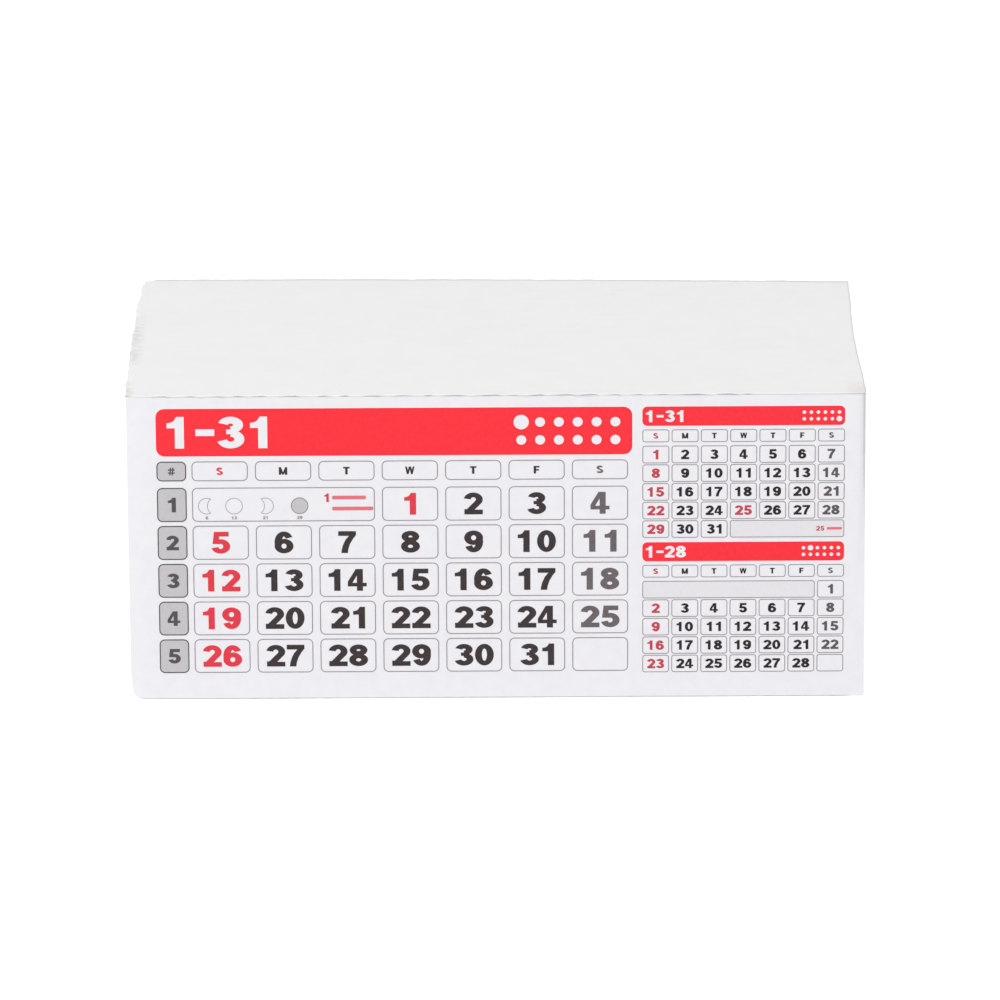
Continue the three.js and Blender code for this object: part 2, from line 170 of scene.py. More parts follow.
class Graph:
    """A material's node tree around one Principled shader, with short calls to fill it."""

    def __init__(self, name: str) -> None:
        """Starts a material whose Principled shader feeds the output.

        Args:
            name: the material's name.
        """
        self.material = bpy.data.materials.new(name)
        self.material.use_nodes = True
        self.tree = self.material.node_tree
        self.shader = self.tree.nodes["Principled BSDF"]
        self.place = add_node(self.tree, "ShaderNodeTexCoord").outputs["Object"]

    def grain(self, scale: Place, detail: float = 3.0, rough: float = 0.55) -> Socket:
        """Makes noise over the object.

        Args:
            scale: waves per metre along each axis.
            detail: octaves of finer noise.
            rough: how strong the finer octaves are.

        Returns:
            The noise's socket.
        """
        mapping = add_node(self.tree, "ShaderNodeMapping", ("Vector", self.place))
        mapping.inputs["Scale"].default_value = scale
        texture = add_node(self.tree, "ShaderNodeTexNoise", ("Vector", mapping.outputs["Vector"]))
        for name, value in (("Scale", 1.0), ("Detail", detail), ("Roughness", rough)):
            texture.inputs[name].default_value = value
        return texture.outputs["Fac"]

    def remap(self, value: Socket, span: Point, to: Point = UNIT) -> Socket:
        """Maps a value from one span onto another and holds it at the ends.

        Args:
            value: the value.
            span: where the value starts and ends.
            to: what it becomes at those ends.

        Returns:
            The socket of the result.
        """
        node = add_node(self.tree, "ShaderNodeMapRange", ("Value", value))
        for name, bound in zip(("From Min", "From Max", "To Min", "To Max"), (*span, *to)):
            node.inputs[name].default_value = bound
        return node.outputs["Result"]

    def times(self, first: Socket, second: Socket) -> Socket:
        """Returns the product of two values."""
        return add_math(self.tree, "MULTIPLY", first, second)

    def within(self, letter: str, rise: Point, fall: Point) -> Socket:
        """Returns 1 between two places along an axis and 0 beyond them, with soft sides."""
        place = add_node(self.tree, "ShaderNodeSeparateXYZ", (0, self.place)).outputs[letter]
        return self.times(self.remap(place, rise), self.remap(place, fall, (1.0, 0.0)))

    def blend(self, share: Socket, first: Socket | Colour, second: Colour) -> Socket:
        """Mixes two colours.

        Args:
            share: how much of the second colour there is.
            first: a colour, or a socket that gives one.
            second: a colour.

        Returns:
            The socket of the mixed colour.
        """
        node = add_node(self.tree, "ShaderNodeMix", ("Factor", share))
        node.data_type = "RGBA"
        low, high = node.inputs[6], node.inputs[7]
        if isinstance(first, tuple):
            low.default_value = (*first, 1.0)
        else:
            self.tree.links.new(first, low)
        high.default_value = (*second, 1.0)
        return node.outputs[2]

    def dress(self, colour: Socket, roughness: Socket) -> None:
        """Feeds the shader its colour and its roughness."""
        self.tree.links.new(colour, self.shader.inputs["Base Color"])
        self.tree.links.new(roughness, self.shader.inputs["Roughness"])

    def bump(self, layers: Bumps) -> None:
        """Feeds the shader a chain of bumps.

        Args:
            layers: each height and its depth in metres.
        """
        before: list[tuple[str, Socket]] = []
        for height, depth in layers:
            node = add_node(self.tree, "ShaderNodeBump", ("Height", height), *before)
            node.inputs["Strength"].default_value = 1.0
            node.inputs["Distance"].default_value = depth
            before = [("Normal", node.outputs["Normal"])]
        self.tree.links.new(before[0][1], self.shader.inputs["Normal"])


@dataclass(frozen=True)
class Stain:
    """A soft-sided patch of another colour, by where it begins and ends on two axes in metres; some are real
    stains and some are painted shade.
    """

    colour: Display
    across: tuple[Point, Point]
    along: tuple[Point, Point]
    axes: str = "XY"
    patch_least: float = 0.1
    patch_span: Point = (0.38, 0.6)
    patch_waves: float = 420.0

    def over(self, graph: Graph, ground: Socket) -> Socket:
        """Lays the patch, a real stain or painted shade, over a colour.

        Args:
            graph: the material's nodes.
            ground: the colour below it.

        Returns:
            The socket of the colour with the patch laid over it.
        """
        sides = [graph.within(axis, *ends) for axis, ends in zip(self.axes, (self.across, self.along))]
        patch = graph.remap(graph.grain((self.patch_waves,) * 3), self.patch_span, (self.patch_least, 1.0))
        return graph.blend(graph.times(graph.times(*sides), patch), ground, from_srgb(self.colour))


@dataclass(frozen=True)
class Finish:
    """A material between two close display colours, with what its kinds of surface share."""

    name: str
    slot: Slot
    colour: Display
    shade: Display
    roughness: Point = (0.5, 0.68)
    specular: float = 0.25
    # Patches laid over the colour: real stains, and painted shade where a finish carries it.
    stains: tuple[Stain, ...] = ()

    def patterns(self, graph: Graph) -> tuple[Socket, Socket, Bumps]:
        """Returns the tone between the colours, what varies the roughness, and the bumps."""
        raise NotImplementedError

    def material(self) -> bpy.types.Material:
        """Makes the node material.

        Returns:
            The material.
        """
        graph = Graph(self.name)
        tone, wear, bumps = self.patterns(graph)
        colour = graph.blend(tone, from_srgb(self.colour), from_srgb(self.shade))
        # Lays the real stains and any painted shade over the colour.
        for mark in self.stains:
            colour = mark.over(graph, colour)
        graph.dress(colour, graph.remap(wear, SPREAD, self.roughness))
        graph.bump(bumps)
        graph.shader.inputs["Specular IOR Level"].default_value = self.specular
        return graph.material


@dataclass(frozen=True)
class PaperFinish(Finish):
    """Smooth uncoated paper: a cool white with a faint cloudy formation and fine fibres."""

    name: str = "calendar_paper"
    slot: Slot = Slot.PAPER
    colour: Display = (240, 240, 243)
    shade: Display = (236, 235, 240)
    roughness: Point = (0.68, 0.82)
    specular: float = 0.3
    cloud_waves: float = 260.0
    fibre_waves: float = 5200.0
    fibre_depth: float = 0.000006

    def patterns(self, graph: Graph) -> tuple[Socket, Socket, Bumps]:
        """Makes the clouds and the fibres.

        Args:
            graph: the material's nodes.

        Returns:
            The clouds, the fibres, and the fibres' bumps.
        """
        cloud = graph.grain((self.cloud_waves,) * 3, 4.0, 0.6)
        fibre = graph.grain((self.fibre_waves, self.fibre_waves, self.fibre_waves * 0.6))
        return graph.remap(cloud, SPREAD), fibre, [(fibre, self.fibre_depth)]


@dataclass(frozen=True)
class EdgeFinish(Finish):
    """The cut edges of a thick stack: a line for every leaf, and a soft band for every pad."""

    name: str = "leaf_edges"
    slot: Slot = Slot.PAGE_EDGES
    colour: Display = (241, 241, 243)
    shade: Display = (198, 198, 203)
    roughness: Point = (0.8, 0.95)
    specular: float = 0.2
    leaf_waves: float = 5200.0
    pad_waves: float = 620.0
    run_waves: float = 9.0
    line_span: Point = (0.28, 0.62)
    line_share: Point = (0.75, 0.0)
    band_span: Point = (0.3, 0.62)
    band_share: Point = (0.6, 0.12)
    leaf_depth: float = 0.00004
    pad_depth: float = 0.00008

    def patterns(self, graph: Graph) -> tuple[Socket, Socket, Bumps]:
        """Makes the leaves' lines and the pads' bands.

        Args:
            graph: the material's nodes.

        Returns:
            The lines within the bands, the leaves, and the bumps of both.
        """
        leaf = graph.grain((self.run_waves, self.leaf_waves, self.run_waves), 2.0, 0.5)
        pad = graph.grain((self.run_waves, self.pad_waves, self.run_waves), 4.0, 0.65)
        line = graph.remap(leaf, self.line_span, self.line_share)
        band = graph.remap(pad, self.band_span, self.band_share)
        return graph.times(line, band), leaf, [(leaf, self.leaf_depth), (pad, self.pad_depth)]


@dataclass(frozen=True)
class GlueFinish(Finish):
    """Brushed white padding glue: faint streaks, a soft sheen, a few stains along its rim, and a grey patch
    of painted shade at its left rim.
    """

    name: str = "padding_glue"
    slot: Slot = Slot.GLUE
    colour: Display = (241, 241, 241)
    shade: Display = (237, 237, 237)
    roughness: Point = (0.58, 0.74)
    specular: float = 0.3
    stains: tuple[Stain, ...] = (
        # The first two patches are real stains on the glue: a beige one at the front left corner and a
        # pinkish one at the front right corner.
        Stain((218, 208, 190), (FAR, (-0.0950, -0.0928)), (FAR, (-0.046, -0.036))),
        Stain((234, 227, 226), ((0.0895, 0.0925), BEYOND), (FAR, (-0.045, -0.040)), patch_least=0.5),
        # Painted shade: a grey patch along the left rim, where the notches of the ragged rim cast small
        # shadows.
        Stain((223, 223, 225), (FAR, (-0.0940, -0.0915)), ((-0.026, -0.020), (0.012, 0.020))),
    )
    streak_waves: Place = (22.0, 1500.0, 22.0)
    mottle_waves: float = 140.0
    mottle_span: Point = (0.35, 0.7)
    mottle_share: Point = (0.1, 1.0)
    grit_waves: float = 2600.0
    streak_depth: float = 0.00002
    mottle_depth: float = 0.00009
    grit_depth: float = 0.00001

    def patterns(self, graph: Graph) -> tuple[Socket, Socket, Bumps]:
        """Makes the brush streaks, the mottle and the grit.

        Args:
            graph: the material's nodes.

        Returns:
            The streaks where the mottle shows them, the mottle, and the bumps of all three.
        """
        streak = graph.grain(self.streak_waves, 4.0, 0.6)
        mottle = graph.grain((self.mottle_waves,) * 3, 5.0, 0.6)
        grit = graph.grain((self.grit_waves,) * 3, 2.0)
        shown = graph.remap(mottle, self.mottle_span, self.mottle_share)
        bumps = [(mottle, self.mottle_depth), (streak, self.streak_depth), (grit, self.grit_depth)]
        return graph.times(graph.remap(streak, SPREAD), shown), mottle, bumps


@dataclass(frozen=True)
class InkFinish(Finish):
    """Offset ink on paper: flat colour with a faint mottle, and the paper's fibres showing in it."""

    mottle_waves: float = 900.0
    mottle_span: Point = (0.35, 0.7)
    fibre_waves: Place = (5200.0, 5200.0, 3100.0)
    fibre_depth: float = 0.000005

    def patterns(self, graph: Graph) -> tuple[Socket, Socket, Bumps]:
        """Makes the mottle and the fibres.

        Args:
            graph: the material's nodes.

        Returns:
            The mottle, the fibres, and the fibres' bumps.
        """
        mottle = graph.grain((self.mottle_waves,) * 3, 4.0, 0.65)
        fibre = graph.grain(self.fibre_waves, 2.0)
        return graph.remap(mottle, self.mottle_span), fibre, [(fibre, self.fibre_depth)]


RED = InkFinish("red_ink", Slot.RED, (253, 51, 63), (248, 45, 57))
RED_NUMBER = InkFinish("red_number_ink", Slot.RED, (229, 61, 75), (222, 55, 69))
SMALL_RED = InkFinish("small_red_ink", Slot.RED, (198, 71, 85), (190, 65, 79))
NOTE = InkFinish("note_ink", Slot.RED, (234, 118, 130), (229, 110, 122))
BLACK = InkFinish("black_ink", Slot.BLACK, (49, 40, 41), (61, 52, 53))
SMALL_BLACK = InkFinish("small_black_ink", Slot.BLACK, (28, 19, 21), (38, 29, 31))
SATURDAY = InkFinish("dark_grey_ink", Slot.DARK_GREY, (100, 92, 94), (112, 104, 106))
SMALL_SATURDAY = InkFinish("small_dark_grey_ink", Slot.DARK_GREY, (88, 80, 84), (98, 90, 94))
LINE = InkFinish("line_ink", Slot.DARK_GREY, (138, 131, 137), (150, 143, 149))
TAB_LINE = InkFinish("tab_line_ink", Slot.DARK_GREY, (80, 74, 77), (90, 84, 87))
MOON_LINE = InkFinish("moon_line_ink", Slot.DARK_GREY, (150, 144, 149), (158, 152, 157))
TAB = InkFinish("light_grey_ink", Slot.LIGHT_GREY, (201, 198, 201), (195, 192, 195))
TINT = InkFinish("pale_tint_ink", Slot.LIGHT_GREY, (232, 230, 234), (228, 226, 230))


@dataclass
class Mesh:
    """Faces gathered from several closed shells, in millimetres."""

    points: list[Place] = field(default_factory=list)
    faces: list[Face] = field(default_factory=list)

    def add(self, points: list[Place], faces: list[Face]) -> None:
        """Adds one closed shell.

        Args:
            points: its points.
            faces: its faces, by the places of their points in that list.
        """
        start = len(self.points)
        self.points += points
        self.faces += [tuple(start + i for i in face) for face in faces]

    def grid_shell(self, top: list[list[Place]], bottom: list[list[Place]]) -> None:
        """Adds a closed shell between two grids of points with the same rows and columns.

        Args:
            top: rows of points on the side that faces out, each from left to right.
            bottom: the same grid on the other side.
        """
        rows, columns = len(top), len(top[0])
        low = rows * columns
        faces = []
        for r in range(rows - 1):
            for c in range(columns - 1):
                a, b = r * columns + c, r * columns + c + 1
                d, e = a + columns, b + columns
                faces += [(a, b, e, d), (low + a, low + d, low + e, low + b)]
        rim = [*range(columns), *(r * columns + columns - 1 for r in range(1, rows))]
        rim += [(rows - 1) * columns + c for c in range(columns - 2, -1, -1)]
        rim += [r * columns for r in range(rows - 2, 0, -1)]
        faces += [(a, low + a, low + b, b) for a, b in zip(rim, rim[1:] + rim[:1])]
        self.add([point for grid in (top, bottom) for row in grid for point in row], faces)

    def build(self, name: str, finish: Finish, is_smooth: bool = False) -> bpy.types.Object:
        """Makes the Blender object, dresses it and sets it on the frame's body.

        Args:
            name: the piece's name.
            finish: the finish that makes its material.
            is_smooth: whether its faces are shaded smooth.

        Returns:
            The new object.
        """
        mesh = bpy.data.meshes.new(name)
        mesh.from_pydata([Vector(point) * MM for point in self.points], [], self.faces)
        mesh.materials.append(finish.material())
        mesh.polygons.foreach_set("use_smooth", [is_smooth] * len(mesh.polygons))
        mesh.update()
        piece = bpy.data.objects.new(name, mesh)
        bpy.context.scene.collection.objects.link(piece)
        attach(piece, BODY)
        LOG.info("%s: %d faces", name, len(self.faces))
        return piece


@dataclass(frozen=True)
class Outline:
    """A closed outline on the page, with an optional hole in it."""

    edge: tuple[Point, ...]
    hole: tuple[Point, ...] = ()

    def placed(self, left: float, bottom: float, size: float = 1.0) -> "Outline":
        """Returns the outline scaled to a size and moved to a place on the page."""
        sides = (self.edge, self.hole)
        return Outline(*(tuple((left + x * size, bottom + y * size) for x, y in side) for side in sides))


def arc(centre: Point, radii: Point, start: float, end: float, step: float = CURVE_STEP) -> list[Point]:
    """Draws a stretch of an ellipse.

    Args:
        centre: the ellipse's centre.
        radii: its radii across and up.
        start: the first angle in degrees.
        end: the last angle in degrees.
        step: the largest angle between two points.

    Returns:
        The points along it.
    """
    count = max(2, math.ceil(abs(end - start) / step))
    angles = [math.radians(lerp(start, end, i / count)) for i in range(count + 1)]
    return [(centre[0] + radii[0] * math.cos(a), centre[1] + radii[1] * math.sin(a)) for a in angles]


def disc(centre: Point, radius: float, step: float = CURVE_STEP) -> tuple[Point, ...]:
    """Returns a circle as a closed outline."""
    return tuple(arc(centre, (radius, radius), 0, 360, step)[:-1])


def rounded(box: Rect, corner: float) -> tuple[Point, ...]:
    """Draws a rectangle with round corners.

    Args:
        box: its left edge, its bottom, its width and its height.
        corner: the radius of its corners.

    Returns:
        The points round it.
    """
    left, bottom, width, height = box
    xs, ys = (left + corner, left + width - corner), (bottom + corner, bottom + height - corner)
    corners = ((xs[1], ys[0], -90), (xs[1], ys[1], 0), (xs[0], ys[1], 90), (xs[0], ys[0], 180))
    turns = (arc((x, y), (corner, corner), turn, turn + 90, CORNER_STEP) for x, y, turn in corners)
    return tuple(point for turn in turns for point in turn)


def shrunk(box: Rect, by: float) -> Rect:
    """Returns a rectangle drawn in by a distance on all sides."""
    return box[0] + by, box[1] + by, box[2] - 2 * by, box[3] - 2 * by


def middle_of(box: Rect) -> Point:
    """Returns the middle of a rectangle."""
    return box[0] + box[2] / 2, box[1] + box[3] / 2


def turned_left(side: tuple[Point, ...]) -> tuple[Point, ...]:
    """Returns an outline's points in the order that turns to the left."""
    area = sum(ax * by - bx * ay for (ax, ay), (bx, by) in zip(side, side[1:] + side[:1]))
    return side if area > 0 else side[::-1]


@dataclass(frozen=True)
class Alphabet:
    """Wide, heavy characters drawn with a broad pen, in a box one unit high.

    All its numbers are shares of the height of a capital.
    """

    width: float = 0.82
    across: float = 0.3
    up: float = 0.215
    stem: float = 0.275
    one_before: float = 0.08
    one_after: float = 0.25

    def block(self, x0: float, y0: float, x1: float, y1: float) -> Outline:
        """Returns an upright rectangle."""
        return Outline(((x0, y0), (x1, y0), (x1, y1), (x0, y1)))

    def slant(self, foot: float, head: float, wide: float, low: float = 0.0) -> Outline:
        """Returns a leaning bar whose ends are cut level, by where its ends are across."""
        half = wide / 2
        return Outline(((foot - half, low), (foot + half, low), (head + half, 1), (head - half, 1)))

    def stroke(self, line: list[Point]) -> Outline:
        """Draws what the pen leaves along a centre line.

        Args:
            line: the points of the centre line.

        Returns:
            The outline.
        """
        a, b = self.across / 2, self.up / 2
        one_side, other_side = [], []
        for i, (x, y) in enumerate(line):
            (ax, ay), (bx, by) = line[max(i - 1, 0)], line[min(i + 1, len(line) - 1)]
            length = math.hypot(bx - ax, by - ay)
            nx, ny = -(by - ay) / length, (bx - ax) / length
            reach = math.hypot(a * nx, b * ny)
            dx, dy = a * a * nx / reach, b * b * ny / reach
            one_side.append((x - dx, y - dy))
            other_side.append((x + dx, y + dy))
        return Outline(tuple(one_side + other_side[::-1]))

    def bowl(self, centre: Point, radii: Point, start: float, end: float) -> Outline:
        """Returns a pen stroke along an arc whose outer edge has the radii given."""
        inner = (radii[0] - self.across / 2, radii[1] - self.up / 2)
        return self.stroke(arc(centre, inner, start, end))

    def ring(self, centre: Point, radii: Point) -> Outline:
        """Returns a closed loop of the pen."""
        inner = (radii[0] - self.across, radii[1] - self.up)
        return Outline(*(tuple(arc(centre, size, 0, 360)[:-1]) for size in (radii, inner)))

    def digit(self, value: int) -> list[Outline]:
        """Draws one numeral.

        Args:
            value: the numeral.

        Returns:
            Its outlines, which may overlap.
        """
        w, middle, up = self.width, self.width / 2, self.up
        six = [self.ring((middle, 0.33), (middle, 0.33)), self.bowl((middle, 0.5), (middle, 0.5), 32, 200)]
        if value == 0:
            return [self.ring((middle, 0.5), (middle, 0.5))]
        if value == 1:
            right = 0.63 * w
            left = right - self.stem
            flag = [(left + 0.05, 1.0), (left - 0.03, 0.87), (left - 0.12, 0.82)]
            return [Outline(((left, 0), (right, 0), (right, 1), *flag, (0, 0.8), (0, 0.64), (left, 0.64)))]
        if value == 2:
            top = arc((middle, 0.68), (middle - self.across / 2, 0.32 - up / 2), 172, -28)
            foot = [self.block(0.02, 0, w, up), self.block(0.02, 0, 0.32 * w, 0.24)]
            return [self.stroke([*top, (0.25 * w, 0.13)]), *foot]
        if value == 3:
            upper = self.bowl((middle, 0.74), (0.46 * w, 0.26), 168, -90)
            lower = self.bowl((middle, 0.29), (middle, 0.29), 90, -168)
            return [upper, lower, self.block(0.34 * w, 0.45, 0.6 * w, 0.6)]
        if value == 4:
            inner, outer, low, high = 0.48 * w, 0.8 * w, 0.2, 0.365
            edge = ((inner, 0), (outer, 0), (outer, low), (w, low), (w, high), (outer, high), (outer, 1))
            rest = ((0.42 * w, 1), (0, 0.42), (0, low), (inner, low))
            return [Outline(edge + rest, ((0.24 * w, high), (inner, high), (inner, 0.7)))]
        if value == 5:
            stem_left = ((0.07 * w, 0.44), (0.4 * w, 0.44), (0.43 * w, 1), (0.15 * w, 1))
            lower = self.bowl((middle, 0.33), (middle, 0.33), 128, -166)
            return [lower, self.block(0.15 * w, 1 - up, 0.93 * w, 1), Outline(stem_left)]
        if value == 6:
            return six
        if value == 7:
            w *= 0.94
            foot = ((0.16 * w, 0), (0.53 * w, 0), (0.56 * w, 0.18), (0.66 * w, 0.42), (0.82 * w, 0.64))
            bar = ((w, 0.82), (w, 1), (0, 1), (0, 1 - up), (0.6 * w, 1 - up))
            return [Outline((*foot, *bar, (0.4 * w, 0.6), (0.26 * w, 0.36), (0.19 * w, 0.16)))]
        if value == 8:
            return [self.ring((middle, 0.74), (0.47 * w, 0.26)), self.ring((middle, 0.29), (middle, 0.29))]
        return [Outline(*(tuple((w - x, 1 - y) for x, y in side) for side in (o.edge, o.hole))) for o in six]

    def sign(self, name: str) -> list[Outline]:
        """Draws a weekday's initial, a dash or a number sign.

        Args:
            name: the character.

        Returns:
            Its outlines, which may overlap.
        """
        w, v, h = self.width + 0.04, self.across, self.up
        stem = self.block(0, 0, v, 1)
        signs = {
            "-": [self.block(0, 0.5 - h / 2, 0.66 * w, 0.5 + h / 2)],
            "#": [self.block(0, 0.22, w, 0.38), self.block(0, 0.62, w, 0.78)]
            + [self.slant(0.29 * w + x, 0.39 * w + x, 0.17) for x in (0, 0.34 * w)],
            "F": [stem, self.block(0, 0.38, 0.76 * w, 0.58), self.block(0, 1 - h, 0.84 * w, 1)],
            "M": [stem, self.block(1.06 - v, 0, 1.06, 1)]
            + [self.slant(0.53, x, 0.24, 0.02) for x in (0.15, 0.91)],
            "S": [self.bowl((w / 2, 0.725), (0.47 * w, 0.275), 18, 270)]
            + [self.bowl((w / 2, 0.28), (w / 2, 0.28), 90, -163)],
            "T": [self.block(0, 1 - h, 0.94 * w, 1), self.block(0.47 * w - v / 2, 0, 0.47 * w + v / 2, 0.9)],
            "W": [self.slant(x, x - 0.22, 0.24) for x in (0.34, 0.86)]
            + [self.slant(x, x + 0.24, 0.22) for x in (0.34, 0.84)],
        }
        return signs[name]

    def text(self, words: str, height: float, space: float = 0.07) -> tuple[list[Outline], float]:
        """Sets a line of text that starts at the origin.

        Args:
            words: digits, weekday initials, dashes and number signs.
            height: the height of its capitals.
            space: the gap between characters, as a share of the height.

        Returns:
            The outlines, and the width of the line.
        """
        placed, start, end = [], 0.0, 0.0
        for character in words:
            shapes = self.digit(int(character)) if character.isdigit() else self.sign(character)
            low = min(x for shape in shapes for x, _ in shape.edge)
            high = max(x for shape in shapes for x, _ in shape.edge)
            is_one = character == "1"
            if is_one and placed:
                start += self.one_before * height
            placed += [shape.placed(start - low * height, 0.0, height) for shape in shapes]
            end = start + (high - low) * height
            start = end + (space + (self.one_after if is_one else 0.0)) * height
        return placed, end


@dataclass
class InkLayer:
    """One colour of print, as thin solids whose backs are in the leaf."""

    name: str
    finish: InkFinish
    alphabet: Alphabet
    leaf_front: float
    height: float = 0.03
    sunk: float = 0.02
    mesh: Mesh = field(default_factory=Mesh)

    def region(self, solids: Sequence[Outline], cuts: Sequence[Outline] = ()) -> None:
        """Adds what the solids cover and the cuts don't.

        Args:
            solids: outlines that may overlap.
            cuts: outlines that are left as bare paper.
        """
        points: list[Vector] = []
        loops: list[list[int]] = []
        roles: list[tuple[int, bool]] = []
        for number, shape in enumerate([*solids, *cuts]):
            for is_hole, side in ((False, shape.edge), (True, shape.hole)):
                if side:
                    loops.append(list(range(len(points), len(points) + len(side))))
                    points += [Vector(point) for point in turned_left(side)]
                    roles.append((number, is_hole))
        result = delaunay_2d_cdt(points, [], loops, INNER_TRIANGLES, MERGED_WITHIN)
        found, _, faces, _, _, sources = result
        kept = []
        for face, source in zip(faces, sources):
            inside = {roles[i][0] for i in source if not roles[i][1]}
            inside -= {roles[i][0] for i in source if roles[i][1]}
            if inside and max(inside) < len(solids):
                a, b, c = (found[i] for i in face)
                kept.append(tuple(face) if (b - a).cross(c - a) > 0 else tuple(face[::-1]))
        used = sorted({i for face in kept for i in face})
        index = {old: new for new, old in enumerate(used)}
        self.extrude([tuple(found[i]) for i in used], [tuple(index[i] for i in face) for face in kept])

    def extrude(self, flat: list[Point], faces: list[Face]) -> None:
        """Adds a thin solid over flat faces.

        Args:
            flat: points on the page.
            faces: faces over them, which turn to the left as seen on the page.
        """
        front, back = self.leaf_front - self.height, self.leaf_front + self.sunk
        count = len(flat)
        points = [(x, y, z) for y in (front, back) for x, z in flat]
        edges = {(a, b) for face in faces for a, b in zip(face, face[1:] + face[:1])}
        sides = [(a, count + a, count + b, b) for a, b in edges if (b, a) not in edges]
        under = [tuple(count + i for i in face[::-1]) for face in faces]
        self.mesh.add(points, faces + under + sorted(sides))

    def outline(self, box: Rect, corner: float, line: float) -> None:
        """Adds the outline of a cell, as a round-cornered loop of one line's width.

        Args:
            box: the cell.
            corner: the radius of its corners.
            line: the line's width.
        """
        outer, inner = rounded(box, corner), rounded(shrunk(box, line), corner - line)
        count = len(outer)
        faces = [(i, (i + 1) % count, count + (i + 1) % count, count + i) for i in range(count)]
        self.extrude([*outer, *inner], faces)

    def write(self, words: str, centre: Point, height: float) -> None:
        """Adds a number or a sign centred on a point of the page.

        Args:
            words: what it says.
            centre: its centre on the page.
            height: the height of its capitals.
        """
        shapes, width = self.alphabet.text(words, height)
        self.region([shape.placed(centre[0] - width / 2, centre[1] - height / 2) for shape in shapes])

    def build(self) -> bpy.types.Object:
        """Returns the finished layer as a piece."""
        return self.mesh.build(self.name, self.finish)


@dataclass(frozen=True)
class Month:
    """A month as the page shows it: how many days it has, where it starts, and its holidays."""

    number: int
    days: int
    first_column: int
    holidays: tuple[int, ...] = ()

    def cells(self, rows: int) -> list[tuple[int, int, int, int]]:
        """Lists the month's cells, where empty neighbours share a cell.

        Args:
            rows: how many weeks there are.

        Returns:
            Each cell's row, column, columns and day, which is 0 in an empty cell.
        """
        found: list[list[int]] = []
        for place in range(rows * WEEK):
            day = place - self.first_column + 1
            row, column = divmod(place, WEEK)
            if not 1 <= day <= self.days:
                if found and found[-1][0] == row and found[-1][3] == 0:
                    found[-1][2] += 1
                    continue
                day = 0
            found.append([row, column, 1, day])
        return [tuple(cell) for cell in found]


@dataclass
class Block:
    """The sizes that every part of the block shares, in millimetres."""

    width: float = 190.0
    leaf: float = 0.1
    right_end_thinner: float = 4.5
    back_inset: float = 1.0
    right_hollow: float = 0.7
    left_bulge: float = 0.5
    wear_width: float = 2.4
    wear_height: float = 5.0
    wear_depth: float = 15.0
    curl_reach: float = 7.3
    curl_drop: float = 0.8
    curl_power: float = 2.4
    right_curl_reach: float = 1.3
    right_curl_drop: float = 0.55
    right_curl_from: Point = (38.0, 74.0)
    back_bulge: float = 1.0
    back_corner: Point = (3.8, 3.0)
    back_corner_from: Point = (55.0, 80.0)

    def __post_init__(self) -> None:
        """Reads the block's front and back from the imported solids."""
        low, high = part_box("page_stack")
        self.front = low.y / MM - self.leaf
        self.back = high.y / MM
        self.leaf_top = high.z / MM
        self.left, self.right = -self.width / 2, self.width / 2

    def left_at(self, share: float) -> float:
        """Returns the left side at a share of the depth."""
        return self.left + self.back_inset * share - self.left_bulge * math.sin(math.pi * share)

    def right_at(self, share: float) -> float:
        """Returns the right side at a share of the depth."""
        return self.right - self.back_inset * share - self.right_hollow * math.sin(math.pi * share) ** 2

    def back_at(self, x: float) -> float:
        """Returns the back, which is nearer at the right end and bulges a little in the middle."""
        share = held((x - self.left) / self.width)
        return self.back - self.right_end_thinner * share + self.back_bulge * math.sin(math.pi * share)

    def back_corner_cut(self, before: float, z: float | None = None) -> float:
        """Finds how far the worn back left corner cuts in.

        Args:
            before: the distance before the back.
            z: the height, or None for the block's top.

        Returns:
            The distance that it cuts in.
        """
        wide, deep = self.back_corner
        cut = wide * (1.0 - math.sqrt(1.0 - held(1.0 - before / deep) ** 2))
        return cut if z is None else cut * smooth(*self.back_corner_from, z)

    def worn_left(self, z: float, depth: float) -> float:
        """Finds how far the worn lower left corner cuts in.

        Args:
            z: the height above the block's foot.
            depth: how far behind the front leaf.

        Returns:
            The distance that it cuts in.
        """
        share = max(0.0, 1.0 - depth / self.wear_depth)
        high = self.wear_height * share
        if z >= high:
            return 0.0
        return self.wear_width * share * (1.0 - math.sqrt(max(0.0, 1.0 - ((high - z) / high) ** 2)))

    def right_drop(self, z: float) -> float:
        """Returns how far the front leaf bends back at its right edge, at a height."""
        return self.right_curl_drop * smooth(*self.right_curl_from, z)

    def curl(self, x: float, z: float = 0.0) -> float:
        """Finds how far the front leaf bends back near its left and its right edge.

        Args:
            x: the place across the page.
            z: the height.

        Returns:
            The distance that it bends back.
        """
        share = held((self.left + self.curl_reach - x) / self.curl_reach)
        right = held((x - self.right + self.right_curl_reach) / self.right_curl_reach)
        return self.curl_drop * share**self.curl_power + self.right_drop(z) * right**2

    def curled_left(self, depth: float) -> float:
        """Returns how far in the stack starts, at a depth where the leaf bends back over it."""
        return self.curl_reach * (1.0 - held(depth / self.curl_drop) ** (1.0 / self.curl_power))

    def curled_right(self, depth: float, z: float) -> float:
        """Returns how far in the stack ends, at a depth and height where the leaf bends back over it."""
        drop = self.right_drop(z)
        return self.right_curl_reach * (1.0 - math.sqrt(depth / drop)) if depth < drop else 0.0


